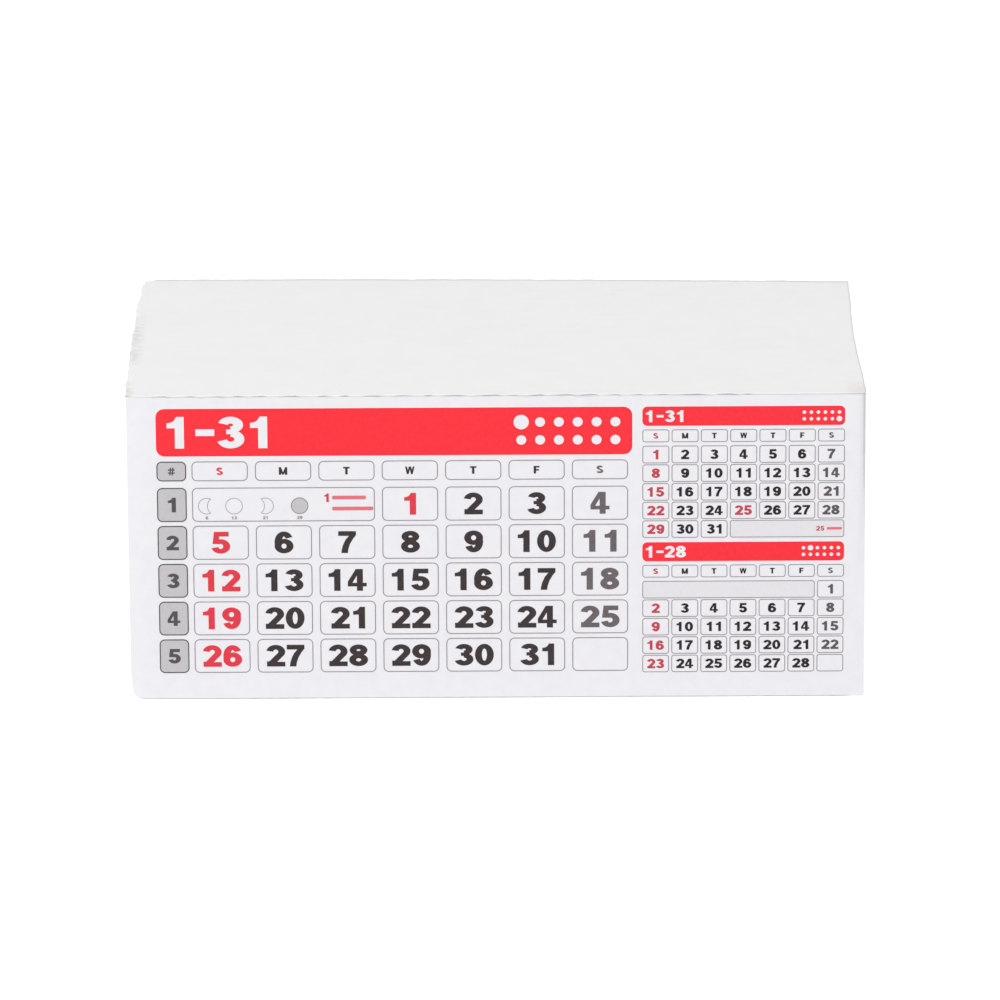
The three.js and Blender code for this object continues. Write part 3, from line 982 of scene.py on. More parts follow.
@dataclass
class LeafStack:
    """The leaves behind the front one: a step at every pad, a seam between pads, bent at the left."""

    block: Block
    pads: int = 96
    front_rings: tuple[float, ...] = (0.0, 0.01, 0.04, 0.1, 0.2, 0.34, 0.52, 0.74, 0.95)
    front_foot: float = 0.02
    first_pad: float = 1.0
    seam: float = 0.07
    seam_share: float = 0.06
    sway: float = 0.11
    most_sway: float = 0.2
    slow_sway: float = 0.08
    slow_turns: Point = (0.37, 0.11)
    lift: float = 0.12
    most_lift: float = 0.3
    seam_sway: float = 0.5
    loose: float = 0.05
    loose_waves: Point = (60.0, 0.03)
    side_rows: int = 9
    side_power: float = 1.6
    foot_columns: int = 12
    seed: int = 11

    def loose_at(self, share: float, z: float) -> float:
        """Returns how loose the leaves' left edge is at a share of the depth, most of all at the foot."""
        noise_here = ripple(share * self.loose_waves[0], z * self.loose_waves[1], Field.LOOSE)
        return self.loose * noise_here * (1.0 - z / self.block.leaf_top)

    def ring(self, share: float, sway: float, lift: float, inset: float) -> list[Place]:
        """Draws the stack's outline at one share of its depth.

        Args:
            share: the share of the depth.
            sway: how far these leaves sit to the right.
            lift: how far their lower edges are off the ground.
            inset: how far a seam goes in.

        Returns:
            The points round the stack.
        """
        block = self.block
        start = block.front + block.leaf
        depth = share * (block.back - start)
        foot, head = lift + inset, block.leaf_top
        near_left = block.left_at(share) + sway + inset + block.curled_left(depth)

        def left_edge(z: float) -> float:
            """Returns the left edge at a height."""
            side = max(near_left, block.left_at(share) + sway + block.worn_left(z - foot, depth))
            return side + self.loose_at(share, z) + block.back_corner_cut(block.back - start - depth, z)

        def right_edge(z: float) -> float:
            """Returns the right edge at a height."""
            return block.right_at(share) + sway - inset - block.curled_right(depth, z)

        rows = [(i / self.side_rows) ** self.side_power for i in range(self.side_rows + 1)]
        heights = [foot + (head - foot) * row for row in rows]
        across = [i / self.foot_columns for i in range(self.foot_columns + 1)]
        flat = [(lerp(left_edge(foot), right_edge(foot), part), foot) for part in across]
        flat += [(right_edge(z), z) for z in heights[1:]]
        flat += [(lerp(right_edge(head), left_edge(head), part), head) for part in across[1:]]
        flat += [(left_edge(z), z) for z in heights[-2:0:-1]]
        return [(x, lerp(start, block.back_at(x), share), z) for x, z in flat]

    def build(self) -> bpy.types.Object:
        """Builds the stack as one closed mesh.

        Returns:
            The piece.
        """
        draw = random.Random(self.seed)
        block = self.block
        depth = block.back - block.front - block.leaf
        rings = [self.ring(d / depth, 0.0, self.front_foot, 0.0) for d in self.front_rings]
        for pad in range(self.pads):
            near, far = (lerp(self.first_pad / depth, 1.0, (pad + i) / self.pads) for i in (0, 1))
            slow = self.slow_sway * math.sin(pad * self.slow_turns[0]) * math.cos(pad * self.slow_turns[1])
            sway = slow + max(-self.most_sway, min(self.most_sway, draw.gauss(0.0, self.sway)))
            lift = min(self.most_lift, abs(draw.gauss(0.0, self.lift)))
            gap = (far - near) * self.seam_share
            rings.append(self.ring(near, sway * self.seam_sway, lift, self.seam))
            rings += [self.ring(share, sway, lift, 0.0) for share in (near + gap, far - gap)]
        count = len(rings[0])
        last = (len(rings) - 1) * count
        faces = [tuple(range(count))]
        for r in range(0, last, count):
            for i in range(count):
                a, b = r + i, r + (i + 1) % count
                faces.append((a, a + count, b + count, b))
        faces.append(tuple(last + i for i in range(count))[::-1])
        mesh = Mesh()
        mesh.add([point for ring in rings for point in ring], faces)
        piece = mesh.build("leaf_stack", EdgeFinish())
        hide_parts("page_stack")
        return piece


@dataclass
class FrontLeaf:
    """The front leaf: a thin sheet with a bent left margin, a worn corner and a drawn-in right edge, with
    painted shade along its right edge and its foot.
    """

    block: Block
    drawn_in: float = 0.25
    drawn_from: Point = (44.0, 76.0)
    low_rows: tuple[float, ...] = (0.0, 0.25, 0.6, 1.1, 1.8, 2.7, 3.8, 5.0)
    first_row: float = 7.0
    rows: int = 26
    margin_columns: int = 18
    columns: int = 30
    edge_strip: float = 1.5
    edge_columns: int = 6
    foot: float = 0.03
    foot_sway: float = 0.04
    foot_waves: float = 0.04
    foot_ease: float = 0.2
    side_sway: float = 0.04
    side_waves: float = 0.2
    ease: float = 0.03
    # Painted shade: a darker strip and a dark line down the upper right edge, where the leaf bends back away
    # from the key lamp.
    edge_stains: tuple[Stain, ...] = (
        Stain((234, 232, 236), ((0.0930, 0.0939), BEYOND), ((0.030, 0.046), BEYOND), "XZ", 0.7),
        Stain((208, 205, 209), ((0.0943, 0.0946), BEYOND), ((0.054, 0.064), BEYOND), "XZ", 0.6),
        # Painted shadow: a dark line along the leaf's foot, where the contact shadow falls between the leaf
        # and the floor.
        Stain((184, 181, 186), ((-0.0925, -0.0910), (0.0895, 0.0920)), (FAR, (0.00024, 0.00034)), "XZ", 0.75),
    )

    def offsets(self) -> list[float]:
        """Spaces the columns, closest in the bent margin and at the right edge.

        Returns:
            Their distances from the left edge.
        """
        reach, strip = self.block.curl_reach, self.block.width - self.edge_strip
        across = [i / self.margin_columns * reach for i in range(self.margin_columns + 1)]
        across += [lerp(reach, strip, i / self.columns) for i in range(1, self.columns + 1)]
        across += [strip + i * self.edge_strip / self.edge_columns for i in range(1, self.edge_columns + 1)]
        return across

    def row(self, z: float, behind: float) -> list[Place]:
        """Draws one row of points across the leaf.

        Args:
            z: the row's height.
            behind: how far it lies behind the leaf's face.

        Returns:
            The points from left to right.
        """
        block = self.block
        start = block.worn_left(z, 0.0) + self.side_sway * ripple(z * self.side_waves, 0.0, Field.LEAF_SIDE)
        end = block.width - self.drawn_in * smooth(*self.drawn_from, z)
        places = []
        for offset in self.offsets():
            x = block.left + lerp(start, end, offset / block.width)
            low = self.foot + self.foot_sway * ripple(x * self.foot_waves, 0.0, Field.LEAF_FOOT)
            places.append((x, block.front + block.curl(x, z) + behind, max(z, low + z * self.foot_ease)))
        return places

    def build(self) -> bpy.types.Object:
        """Builds the leaf as one closed sheet.

        Returns:
            The piece.
        """
        top = self.block.leaf_top
        heights = [*self.low_rows, *(lerp(self.first_row, top, i / self.rows) for i in range(self.rows + 1))]
        depths = (0.0, self.block.leaf - self.ease)
        mesh = Mesh()
        mesh.grid_shell(*([self.row(z, behind) for z in heights] for behind in depths))
        # The leaf's paper carries the painted shade along its right edge and its foot.
        piece = mesh.build("front_leaf_sheet", PaperFinish(stains=self.edge_stains))
        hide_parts("front_leaf")
        return piece


@dataclass
class BackLeaf:
    """The last leaf, which covers the back of the stack and follows its slight bulge."""

    block: Block
    columns: int = 48
    rows: int = 26
    foot: float = 0.15
    sunk: float = 0.08
    out: float = 0.05

    def row(self, z: float, behind: float) -> list[Place]:
        """Draws one row of points across the leaf.

        Args:
            z: the row's height.
            behind: how far it lies behind the stack's back.

        Returns:
            The points from left to right.
        """
        left = self.block.left_at(1.0) + self.block.back_corner_cut(0.0, z)
        across = [lerp(left, self.block.right_at(1.0), c / self.columns) for c in range(self.columns + 1)]
        return [(x, self.block.back_at(x) + behind, z) for x in across]

    def build(self) -> bpy.types.Object:
        """Builds the leaf as one closed sheet.

        Returns:
            The piece.
        """
        heights = [lerp(self.foot, self.block.leaf_top, r / self.rows) for r in range(self.rows + 1)]
        mesh = Mesh()
        mesh.grid_shell(*([self.row(z, behind) for z in heights] for behind in (-self.sunk, self.out)))
        return mesh.build("back_leaf_sheet", PaperFinish("back_paper"))


@dataclass(frozen=True)
class Flake:
    """A stretch of the front edge where the glue has lifted a little off the leaf."""

    left: float
    right: float
    opening: float
    rise: float = 1.4
    rise_power: float = 0.8
    fall: float = 3.5

    def opening_at(self, x: float) -> float:
        """Finds how far it has lifted, most of all towards its right end.

        Args:
            x: the place along the front edge.

        Returns:
            The gap below it.
        """
        share = (x - self.left) / (self.right - self.left)
        if not 0.0 < share < 1.0:
            return 0.0
        rise, fall = self.rise * share**self.rise_power, self.fall * (1.0 - share)
        return self.opening * min(1.0, rise) * min(1.0, fall)


@dataclass
class PaddingGlue:
    """The film of glue over the leaves' top edges, with a ragged rim and a flaked front edge.

    The swell, the waves and the crumbs each hold a height, and waves per millimetre across and
    along the depth. Each of the rim's waves holds waves per millimetre, its share and its shift.
    """

    block: Block
    thickness: float = 0.45
    overhang: float = 0.12
    front_overhang: float = 0.02
    rag: float = 0.16
    left_rag: float = 0.66
    back_rag: float = 0.3
    columns: int = 320
    fine_rows: int = 26
    fine_reach: float = 3.0
    coarse_rows: int = 52
    swell: Place = (0.06, 0.035, 0.06)
    waves: Place = (0.025, 0.02, 0.9)
    crumbs: Place = (0.02, 0.9, 0.9)
    lip: float = 0.07
    lip_at: float = 0.5
    lip_spread: float = 0.5
    lip_waves: float = 0.25
    lifted: float = 0.6
    lifted_reach: float = 0.7
    front_waves: float = 0.9
    rim_waves: tuple[Place, ...] = ((0.11, 1.0, 0.0), (0.45, 0.7, 0.5), (1.7, 0.45, 0.8))
    opening_reach: float = 0.52
    least_lip: float = 0.07
    rim_drop: float = 0.07
    flake_span: Point = (-88.5, 64.0)
    flake_length: Point = (2.2, 7.5)
    flake_gap: Point = (0.3, 3.0)
    flake_opening: Point = (0.18, 0.4)
    line_from: Point = (60.0, 70.0)
    line_wider: Point = (84.0, 93.0)
    line_opening: Point = (0.05, 0.1)
    seed: int = 17

    def __post_init__(self) -> None:
        """Draws the flakes along the front edge."""
        draw = random.Random(self.seed)
        self.flakes: list[Flake] = []
        x, end = self.flake_span
        while x < end:
            length = draw.uniform(*self.flake_length)
            self.flakes.append(Flake(x, x + length, draw.uniform(*self.flake_opening)))
            x += length + draw.uniform(*self.flake_gap)

    def opening(self, x: float) -> float:
        """Returns how far the film has lifted off the leaf's top edge at a place along the front."""
        line = lerp(*self.line_opening, smooth(*self.line_wider, x)) * smooth(*self.line_from, x)
        return max(line, *(flake.opening_at(x) for flake in self.flakes))

    def front_at(self, x: float) -> float:
        """Returns the film's front edge, which follows the leaf's bent margin."""
        leaf = self.block.front + self.block.curl(x, self.block.leaf_top)
        return leaf - self.front_overhang * (1.0 + ripple(x * self.front_waves, 0.0, Field.GLUE_FRONT))

    def height_at(self, x: float, y: float) -> float:
        """Finds the film's upper surface.

        Args:
            x: the place across the block.
            y: the place along its depth.

        Returns:
            The height there.
        """
        parts = ((self.swell, Field.SWELL), (self.waves, Field.WAVES), (self.crumbs, Field.CRUMBS))
        swell, wave, crumb = (high * ripple(x * a, y * b, where) for (high, a, b), where in parts)
        behind = max(0.0, y - self.front_at(x))
        lip = self.lip * math.exp(-((behind - self.lip_at) ** 2) / self.lip_spread)
        lip *= 0.5 + ripple(x * self.lip_waves, 0.0, Field.LIP)
        lifted = self.lifted * self.opening(x) * math.exp(-behind / self.lifted_reach)
        return self.block.leaf_top + self.thickness + (swell + wave) + crumb + lip + lifted

    def rim(self, along: float, where: float, rag: float) -> float:
        """Returns how far the rim stands out at a distance along a side with its own field of noise."""
        rough = sum(part * ripple(along * turns, 0.0, where + step) for turns, part, step in self.rim_waves)
        return self.overhang + rag * rough

    def plan(self, share: float, across: float) -> Point:
        """Finds a point of the film's grid from above.

        Args:
            share: its share of the depth.
            across: its share of the width.

        Returns:
            The point.
        """
        block = self.block
        depth = block.back - block.front
        left = block.left_at(share) - self.rim(share * depth, Field.LEFT_RIM, self.left_rag)
        left += block.back_corner_cut((1.0 - share) * depth)
        x = lerp(left, block.right_at(share) + self.rim(share * depth, Field.RIGHT_RIM, self.rag), across)
        return x, lerp(self.front_at(x), block.back_at(x) + self.rim(x, Field.BACK_RIM, self.back_rag), share)

    def build(self) -> bpy.types.Object:
        """Builds the film as one closed mesh.

        Returns:
            The piece.
        """
        depth = self.block.back - self.block.front
        shares = [self.fine_reach * i / self.fine_rows / depth for i in range(self.fine_rows)]
        reach = self.fine_reach / depth
        shares += [lerp(reach, 1.0, i / self.coarse_rows) for i in range(self.coarse_rows + 1)]
        top, bottom = [], []
        for share in shares:
            near = max(0.0, 1.0 - share * depth / self.opening_reach)
            over, under = [], []
            for c in range(self.columns + 1):
                x, y = self.plan(share, c / self.columns)
                is_rim = share in (shares[0], shares[-1]) or c in (0, self.columns)
                high = self.height_at(x, y) - (self.rim_drop if is_rim else 0.0)
                over.append((x, y, high))
                under.append((x, y, min(high - self.least_lip, self.block.leaf_top + near * self.opening(x))))
            top.append(over)
            bottom.append(under)
        mesh = Mesh()
        mesh.grid_shell(top, bottom)
        piece = mesh.build("padding_glue_film", GlueFinish(), is_smooth=True)
        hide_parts("padding_glue")
        return piece


@dataclass
class TornFibres:
    """Shreds of paper that torn-off leaves left in the glue along the front edge."""

    block: Block
    glue: PaddingGlue
    count: int = 40
    columns: int = 6
    length: Point = (1.0, 5.5)
    height: Point = (0.08, 0.26)
    level: Point = (-0.12, 0.1)
    out: Point = (0.05, 0.1)
    tilt: Point = (-0.05, 0.05)
    lean: Point = (-0.12, 0.05)
    torn: Point = (0.35, 1.0)
    end: float = 0.6
    thickness: float = 0.05
    seed: int = 5

    def shred(self, draw: random.Random, x: float, mesh: Mesh) -> None:
        """Adds one shred.

        Args:
            draw: the source of its random sizes.
            x: its place along the front edge.
            mesh: the mesh that it is added to.
        """
        long, tall = draw.uniform(*self.length), draw.uniform(*self.height)
        z = self.block.leaf_top + draw.uniform(*self.level)
        out = self.glue.front_at(x) - draw.uniform(*self.out)
        tilt, lean = draw.uniform(*self.tilt), draw.uniform(*self.lean)
        upper = [draw.uniform(*self.torn) * tall for _ in range(self.columns + 1)]
        top: list[list[Place]] = [[], []]
        for c, rise in enumerate(upper):
            across = (c / self.columns - 0.5) * long
            swell = rise * math.sin(math.pi * (c + self.end) / (self.columns + 2 * self.end))
            top[0].append((x + across, out, z + across * tilt))
            top[1].append((x + across, out + lean, z + across * tilt + swell))
        mesh.grid_shell(top, [[(px, py + self.thickness, pz) for px, py, pz in row] for row in top])

    def build(self) -> bpy.types.Object:
        """Builds the shreds as one piece of many small closed shells.

        Returns:
            The piece.
        """
        draw = random.Random(self.seed)
        mesh = Mesh()
        for i in range(self.count):
            self.shred(draw, lerp(*self.glue.flake_span, (i + draw.random()) / self.count), mesh)
        return mesh.build("torn_fibres", PaperFinish("torn_paper"))


@dataclass
class Table:
    """One month's table on the page, in millimetres. The sizes are the large table's."""

    month: Month
    left: float
    top: float
    cell_width: float
    row_height: float
    banner_width: float
    column_gap: float = 1.87
    row_gap: float = 1.1
    head_height: float = 5.35
    banner_height: float = 12.85
    banner_corner: float = 2.2
    banner_to_head: float = 1.4
    head_to_rows: float = 1.8
    corner: float = 1.35
    line: float = 0.23
    number_height: float = 5.95
    word_height: float = 2.05
    banner_text: float = 8.6
    banner_inset: float = 2.8
    rows: int = 5

    @classmethod
    def above_rows(cls) -> float:
        """Returns the height of the banner and the weekday heads, with the gaps below them."""
        return cls.banner_height + cls.banner_to_head + cls.head_height + cls.head_to_rows

    def head_bottom(self) -> float:
        """Returns the bottom of the row of weekday names."""
        return self.top - self.banner_height - self.banner_to_head - self.head_height

    def row_bottom(self, index: int) -> float:
        """Returns the bottom of a week's row."""
        start = self.head_bottom() - self.head_to_rows
        return start - self.row_height - index * (self.row_height + self.row_gap)

    def head(self, column: int) -> Rect:
        """Returns the cell of a weekday's name."""
        left = self.left + column * (self.cell_width + self.column_gap)
        return left, self.head_bottom(), self.cell_width, self.head_height

    def cell(self, row: int, column: int, columns: int = 1) -> Rect:
        """Returns a cell in a week's row, which may be several columns wide."""
        width = columns * (self.cell_width + self.column_gap) - self.column_gap
        return self.head(column)[0], self.row_bottom(row), width, self.row_height


@dataclass
class SmallTable(Table):
    """The table of a small month, for the month before and the month after."""

    column_gap: float = 0.62
    row_gap: float = 0.32
    head_height: float = 3.45
    banner_height: float = 5.2
    banner_corner: float = 1.25
    banner_to_head: float = 1.0
    head_to_rows: float = 0.95
    corner: float = 0.7
    line: float = 0.2
    number_height: float = 2.6
    word_height: float = 1.5
    banner_text: float = 3.2
    banner_inset: float = 0.9


@dataclass(frozen=True)
class Moon:
    """The outline of the moon's phases, drawn with a fine line."""

    middle: float
    radius: float = 2.22
    line: float = 0.14
    bite: Point = (1.2375, 1.1375)

    def whole(self, x: float) -> Outline:
        """Returns the full disc's line at a place across the page."""
        return Outline(disc((x, self.middle), self.radius), disc((x, self.middle), self.radius - self.line))

    def bitten(self, x: float, side: float, inset: float) -> tuple[Point, ...]:
        """Draws a disc with a round bite at one side.

        Args:
            x: its centre across the page.
            side: 1 for a bite at the right, -1 for one at the left.
            inset: how far the outline is drawn in all round.

        Returns:
            The points round it.
        """
        off, outer = self.radius * self.bite[0], self.radius - inset
        bite = self.radius * self.bite[1] + inset
        horn = (off * off + outer * outer - bite * bite) / (2 * off)
        rise = math.sqrt(outer * outer - horn * horn)
        start, end = (math.degrees(math.atan2(rise, across)) for across in (horn, horn - off))
        points = arc((0, 0), (outer, outer), start, 360 - start)
        points += arc((off, 0), (bite, bite), 360 - end, end)[1:-1]
        return tuple((x + side * px, self.middle + py) for px, py in points)

    def crescent(self, x: float, side: float) -> Outline:
        """Returns a crescent whose horns point to one side, as a fine closed line."""
        return Outline(self.bitten(x, side, 0.0), self.bitten(x, side, self.line))


@dataclass
class PagePrint:
    """Everything printed on the front leaf, one layer to each colour.

    A note's number holds its place from the note's start, and its height. A note's bar holds its
    left edge and bottom from there, its width and its height.
    """

    block: Block
    margin_left: float = 7.5
    margin_right: float = 5.3
    margin_top: float = 3.1
    margin_bottom: float = 7.3
    small_margin_bottom: float = 6.85
    small_cell: float = 6.91
    small_tables_gap: float = 1.2
    table_gutter: float = 3.7
    banner_overrun: float = 1.1
    banner_space: float = 0.09
    month_count: int = 12
    dot: float = 0.15
    this_dot: float = 0.23
    dot_pitch: float = 0.563
    dot_inset: float = 0.18
    tab_width: float = 7.65
    tab_to_days: float = 1.4
    tab_inset: float = 0.12
    tab_line: float = 0.28
    tab_number: float = 4.0
    tint_inset: float = 1.5
    tint_corner: float = 0.4
    thin_film: float = 0.015
    film: float = 0.03
    thick_film: float = 0.05
    moon_rise: float = 0.46
    moon_spots: tuple[float, ...] = (3.75, 10.8, 18.8, 27.7)
    moon_days: tuple[int, ...] = (6, 13, 21, 29)
    moon_day: Point = (1.05, 0.85)
    note_left: float = 11.0
    note_number: Place = (-1.45, 1.75, 2.35)
    note_bars: tuple[Rect, ...] = ((0.0, 1.3, 8.7, 1.0), (0.0, -1.7, 10.6, 1.0))
    note_corner: float = 0.3
    small_note_right: float = 0.6
    small_note_number: Place = (-5.6, 0.0, 1.25)
    small_note_bar: Rect = (-3.9, -0.35, 3.9, 0.7)
    small_note_corner: float = 0.25

    def __post_init__(self) -> None:
        """Works out the three tables and starts the layers of ink."""
        top = self.block.leaf_top - self.margin_top
        small_width = WEEK * self.small_cell + LAST_COLUMN * SmallTable.column_gap
        small_left = self.block.right - self.margin_right - small_width
        self.tab_left = self.block.left + self.margin_left
        left = self.tab_left + self.tab_width + self.tab_to_days
        right = small_left - self.table_gutter
        width = (right - left - LAST_COLUMN * Table.column_gap) / WEEK
        gaps = Table.rows - 1
        height = (top - Table.above_rows() - self.margin_bottom - gaps * Table.row_gap) / Table.rows
        banner = right - self.tab_left + self.banner_overrun
        self.main = Table(Month(1, 31, 3, (1,)), left, top, width, height, banner)
        pitch = (top - self.small_margin_bottom - self.small_tables_gap) / 2
        height = (pitch - SmallTable.above_rows() - gaps * SmallTable.row_gap) / Table.rows
        tops = (top, top - (pitch + self.small_tables_gap))
        self.small = [
            SmallTable(month, small_left, start, self.small_cell, height, small_width)
            for start, month in zip(tops, (Month(12, 31, 0, (25,)), Month(2, 28, 6)))
        ]
        self.alphabet = Alphabet()
        self.layers: list[InkLayer] = []
        self.banners = self.start_layer("red_banners", RED)
        self.red = self.start_layer("red_numbers", RED_NUMBER)
        self.notes = self.start_layer("note_rules", NOTE)
        self.black = self.start_layer("black_numbers", BLACK)
        self.grey = self.start_layer("saturday_numbers", SATURDAY)
        self.small_red = self.start_layer("small_red_numbers", SMALL_RED)
        self.small_black = self.start_layer("small_black_numbers", SMALL_BLACK)
        self.small_grey = self.start_layer("small_saturday_numbers", SMALL_SATURDAY)
        self.tabs = self.start_layer("week_tabs", TAB)
        self.tab_lines = self.start_layer("week_tab_lines", TAB_LINE, self.thick_film)
        self.lines = self.start_layer("cell_lines", LINE)
        self.tints = self.start_layer("pale_tints", TINT, self.thin_film)
        self.moons = self.start_layer("moon_phases", MOON_LINE, self.thick_film)

    def start_layer(self, name: str, finish: InkFinish, height: float | None = None) -> InkLayer:
        """Starts an empty layer of ink on the leaf.

        Args:
            name: the name of its piece.
            finish: the ink.
            height: how far it stands out, or None for a usual film of ink.

        Returns:
            The layer.
        """
        layer = InkLayer(name, finish, self.alphabet, self.block.front, height or self.film)
        self.layers.append(layer)
        return layer

    def ink_for(self, table: Table, column: int, day: int = 0) -> InkLayer:
        """Picks the layer that prints a day: red on Sundays and holidays, grey on Saturdays.

        Args:
            table: the table that the day is in.
            column: the day's column.
            day: the day, or 0 for a weekday's name.

        Returns:
            The layer.
        """
        red, grey, black = self.red, self.grey, self.black
        if table is not self.main:
            red, grey, black = self.small_red, self.small_grey, self.small_black
        if column == 0 or day in table.month.holidays:
            return red
        return grey if column == LAST_COLUMN else black

    def print_banner(self, table: Table, left: float) -> None:
        """Prints a red banner, with its month's range of days and twelve dots left as bare paper.

        Args:
            table: the table that the banner heads.
            left: the banner's left edge.
        """
        size = table.banner_text
        box = (left, table.top - table.banner_height, table.banner_width, table.banner_height)
        base = box[1] + (table.banner_height - size) / 2
        days, _ = self.alphabet.text(f"1-{table.month.days}", size, self.banner_space)
        cuts = [glyph.placed(left + table.banner_inset, base) for glyph in days]
        per_row = self.month_count // 2
        pitch = size * self.dot_pitch
        start = left + table.banner_width - table.banner_inset - size * self.dot_inset - (per_row - 1) * pitch
        for i in range(self.month_count):
            radius = size * (self.this_dot if i + 1 == table.month.number else self.dot)
            row, column = divmod(i, per_row)
            centre = (start + column * pitch, middle_of(box)[1] + (0.5 - row) * pitch)
            cuts.append(Outline(disc(centre, radius, DOT_STEP)))
        self.banners.region([Outline(rounded(box, table.banner_corner))], cuts)

    def print_table(self, table: Table, is_tinted: bool) -> None:
        """Prints a month's cells, weekday initials and numbers.

        Args:
            table: the table's sizes.
            is_tinted: whether runs of empty cells have a pale tint.
        """
        for column, initial in enumerate(INITIALS):
            box = table.head(column)
            self.lines.outline(box, table.corner, table.line)
            self.ink_for(table, column).write(initial, middle_of(box), table.word_height)
        for row, column, columns, day in table.month.cells(table.rows):
            box = table.cell(row, column, columns)
            self.lines.outline(box, table.corner, table.line)
            if day:
                self.ink_for(table, column, day).write(str(day), middle_of(box), table.number_height)
            elif columns > 1 and is_tinted:
                inner = shrunk(box, table.line * self.tint_inset)
                self.tints.region([Outline(rounded(inner, self.tint_corner))])

    def print_week_tabs(self) -> None:
        """Prints the grey tabs at the left of the main table, with the weeks' numbers."""
        main = self.main
        tabs = [(main.head(0), "#", main.word_height)]
        tabs += [(main.cell(row, 0), str(row + 1), self.tab_number) for row in range(main.rows)]
        for (_, bottom, _, height), words, size in tabs:
            box = (self.tab_left, bottom, self.tab_width, height)
            self.tabs.region([Outline(rounded(shrunk(box, self.tab_inset), main.corner))])
            self.tab_lines.outline(box, main.corner, self.tab_line)
            self.tab_lines.write(words, middle_of(box), size)

    def print_moons(self) -> None:
        """Prints four phases of the moon in the first week's empty cell, with their days below."""
        bottom = self.main.row_bottom(0)
        moon = Moon(bottom + self.main.row_height * self.moon_rise)
        first, full, last, new = (self.main.left + spot for spot in self.moon_spots)
        self.moons.region([moon.crescent(first, 1.0)])
        self.moons.region([moon.whole(full)])
        self.moons.region([moon.crescent(last, -1.0)])
        self.tabs.region([Outline(moon.whole(new).edge)])
        self.tab_lines.region([moon.whole(new)])
        rise, size = self.moon_day
        for spot, day in zip((first, full, last, new), self.moon_days):
            self.moons.write(str(day), (spot, bottom + rise), size)

    def print_note(self, ink: InkLayer, start: Point, words: str, number: Place, bars: Sequence[Rect],
                   corner: float) -> None:
        """Prints a holiday's note as a number with plain rules beside it.

        Args:
            ink: the layer that prints the number.
            start: the point of the page that the note is measured from.
            words: the number.
            number: its middle, from that point, and its height.
            bars: the rules, from that point.
            corner: the radius of the rules' corners.
        """
        x, y = start
        ink.write(words, (x + number[0], y + number[1]), number[2])
        for left, bottom, width, height in bars:
            self.notes.region([Outline(rounded((x + left, y + bottom, width, height), corner))])

    def print_notes(self) -> None:
        """Prints the notes of the large month and of the month before."""
        left, bottom, width, height = self.main.cell(0, 2)
        start = (left + width - self.note_left, bottom + height / 2)
        self.print_note(self.red, start, "1", self.note_number, self.note_bars, self.note_corner)
        left, bottom, width, height = self.small[0].cell(4, LAST_COLUMN)
        start = (left + width - self.small_note_right, bottom + height / 2)
        number, bars = self.small_note_number, (self.small_note_bar,)
        self.print_note(self.small_red, start, "25", number, bars, self.small_note_corner)

    def build(self) -> list[bpy.types.Object]:
        """Prints the whole page.

        Returns:
            Its layers as pieces.
        """
        self.print_banner(self.main, self.tab_left)
        self.print_table(self.main, is_tinted=False)
        for table in self.small:
            self.print_banner(table, table.left)
            self.print_table(table, is_tinted=True)
        self.print_week_tabs()
        self.print_moons()
        self.print_notes()
        pieces = {layer.name: layer.build() for layer in self.layers}
        by_layer: dict[str, list[str]] = {
            "red_banners": ["banner_this_month", "banner_previous_month", "banner_next_month"],
            "week_tabs": ["week_tab_heading", *(f"week_tab_{row + 1}" for row in range(self.main.rows))],
            "moon_phases": ["moon_waxing", "moon_full", "moon_waning", "moon_new"],
        }
        for _, column, _, day in self.main.month.cells(self.main.rows):
            if day:
                by_layer.setdefault(self.ink_for(self.main, column, day).name, []).append(f"day_{day}")
        for name, nodes in by_layer.items():
            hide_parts(*nodes)
        return list(pieces.values())


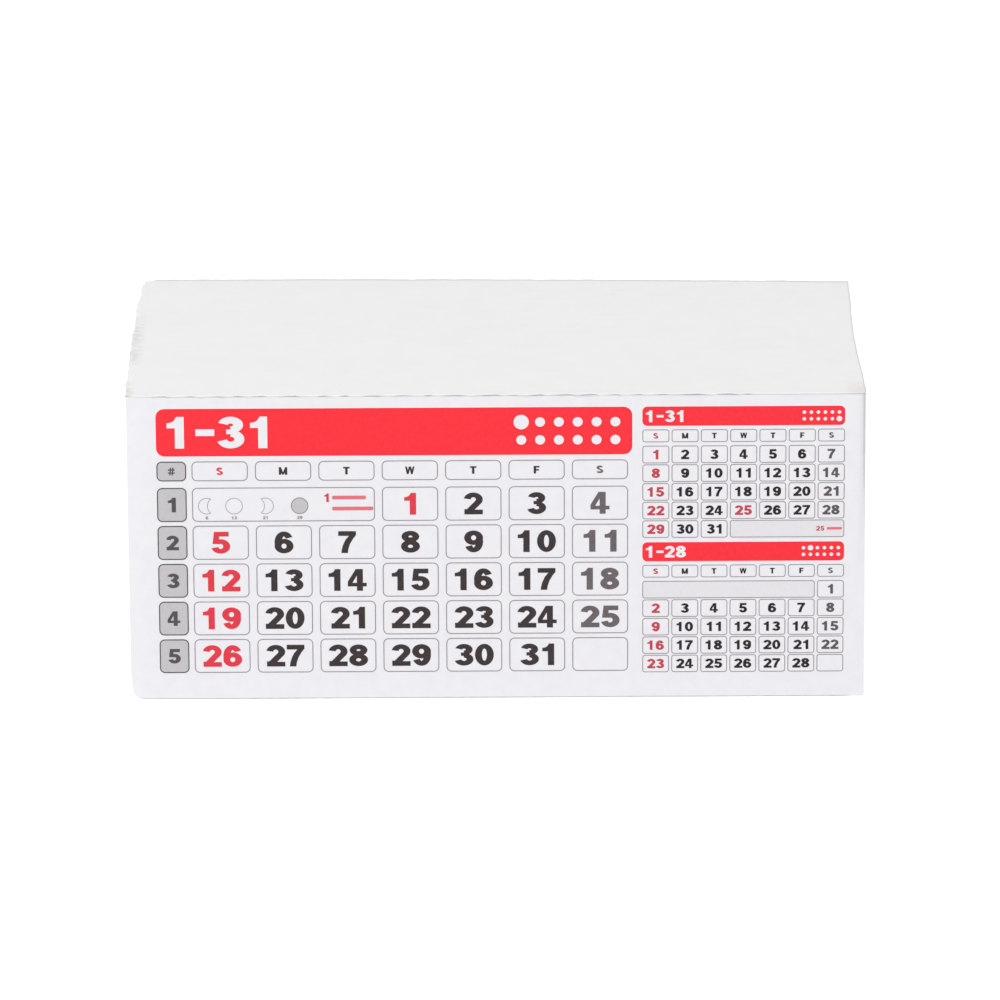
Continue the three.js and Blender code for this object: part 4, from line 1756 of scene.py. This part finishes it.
@dataclass
class Studio:
    """A white floor, a soft key lamp at the left, a fill, an even sky, and the camera."""

    floor_half: float = 8.0
    floor_grey: float = 0.8
    floor_glow: float = 0.52
    sky: float = 0.62
    key_power: float = 48.4
    key_place: Place = (-1.4, -1.68, 2.3)
    fill_power: float = 8.0
    fill_place: Place = (1.5, -2.2, 1.5)
    lamp_size: float = 2.4
    aim: Place = (0.000913, 0.0, 0.037207)
    distance: float = 2.3159
    elevation: float = 18.841
    roll: float = 0.294
    focal_pixels: float = 8780.2
    picture_pixels: float = 1000.0
    sensor: float = 36.0
    clip: Point = (0.05, 60.0)

    def white_to_camera(self, tree: bpy.types.NodeTree) -> Socket:
        """Tells the rays that see the backdrop straight, in gloss or through glass.

        Args:
            tree: the node tree.

        Returns:
            The socket that is 1 for those rays.
        """
        path = add_node(tree, "ShaderNodeLightPath")
        total = path.outputs["Is Camera Ray"]
        for name in ("Is Glossy Ray", "Is Transmission Ray"):
            total = add_math(tree, "MAXIMUM", total, path.outputs[name])
        return total

    def build_world(self) -> None:
        """Makes an even sky that looks pure white to the camera."""
        world = bpy.data.worlds.new("studio_sky")
        world.use_nodes = True
        bpy.context.scene.world = world
        tree = world.node_tree
        background = tree.nodes["Background"]
        background.inputs["Color"].default_value = WHITE
        strength = add_node(tree, "ShaderNodeMapRange", ("Value", self.white_to_camera(tree)))
        strength.inputs["To Min"].default_value = self.sky
        strength.inputs["To Max"].default_value = 1.0
        tree.links.new(strength.outputs["Result"], background.inputs["Strength"])

    def build_floor(self) -> None:
        """Makes the floor, which the camera sees as white with the block's own soft shadow."""
        half = self.floor_half
        mesh = bpy.data.meshes.new("studio_floor")
        corners = [(-half, -half, 0.0), (half, -half, 0.0), (half, half, 0.0), (-half, half, 0.0)]
        mesh.from_pydata(corners, [], [(0, 1, 2, 3)])
        floor = bpy.data.objects.new("studio_floor", mesh)
        bpy.context.scene.collection.objects.link(floor)
        material = bpy.data.materials.new("studio_floor")
        material.use_nodes = True
        tree = material.node_tree
        tree.nodes.clear()
        matt = add_node(tree, "ShaderNodeBsdfDiffuse")
        matt.inputs["Color"].default_value = (*(self.floor_grey,) * 3, 1.0)
        lit = add_node(tree, "ShaderNodeEmission")
        lit.inputs["Color"].default_value = WHITE
        lit.inputs["Strength"].default_value = self.floor_glow
        both = add_node(tree, "ShaderNodeAddShader", (0, matt.outputs[0]), (1, lit.outputs[0]))
        feeds = enumerate((self.white_to_camera(tree), matt.outputs[0], both.outputs[0]))
        choice = add_node(tree, "ShaderNodeMixShader", *feeds)
        add_node(tree, "ShaderNodeOutputMaterial", ("Surface", choice.outputs[0]))
        mesh.materials.append(material)

    def lamp(self, name: str, place: Place, power: float) -> None:
        """Adds a large soft lamp that points at the block.

        Args:
            name: the lamp's name.
            place: where it stands, in metres.
            power: its power in watts.
        """
        data = bpy.data.lights.new(name, "AREA")
        data.shape = "DISK"
        data.size = self.lamp_size
        data.energy = power
        lamp = bpy.data.objects.new(name, data)
        lamp.location = place
        lamp.rotation_euler = (Vector(self.aim) - Vector(place)).to_track_quat("-Z", "Y").to_euler()
        bpy.context.scene.collection.objects.link(lamp)

    def build_camera(self) -> None:
        """Sets the camera where the photograph's edges put it, with its slight roll."""
        data = bpy.data.cameras.new("photo_camera")
        data.sensor_width = self.sensor
        data.lens = self.focal_pixels * self.sensor / self.picture_pixels
        data.clip_start, data.clip_end = self.clip
        camera = bpy.data.objects.new("photo_camera", data)
        rise = math.radians(self.elevation)
        away = Vector((0.0, -math.cos(rise), math.sin(rise)))
        camera.matrix_world = (
            Matrix.Translation(Vector(self.aim) + away * self.distance)
            @ (-away).to_track_quat("-Z", "Y").to_matrix().to_4x4()
            @ Matrix.Rotation(-math.radians(self.roll), 4, "Z")
        )
        bpy.context.scene.collection.objects.link(camera)
        bpy.context.scene.camera = camera

    def build(self) -> None:
        """Builds the whole studio."""
        bpy.context.scene.view_settings.view_transform = "Standard"
        self.build_world()
        self.build_floor()
        self.lamp("key_lamp", self.key_place, self.key_power)
        self.lamp("fill_lamp", self.fill_place, self.fill_power)
        self.build_camera()


def write_sizes() -> None:
    """Updates the view layer so that every piece's place is current."""
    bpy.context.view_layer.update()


def main() -> None:
    """Builds the block, its print and the studio in order."""
    logging.basicConfig(level=logging.INFO, format="%(message)s")
    block = Block()
    LeafStack(block).build()
    FrontLeaf(block).build()
    BackLeaf(block).build()
    glue = PaddingGlue(block)
    glue.build()
    TornFibres(block, glue).build()
    PagePrint(block).build()
    Studio().build()
    write_sizes()


if __name__ == "__main__":
    main()
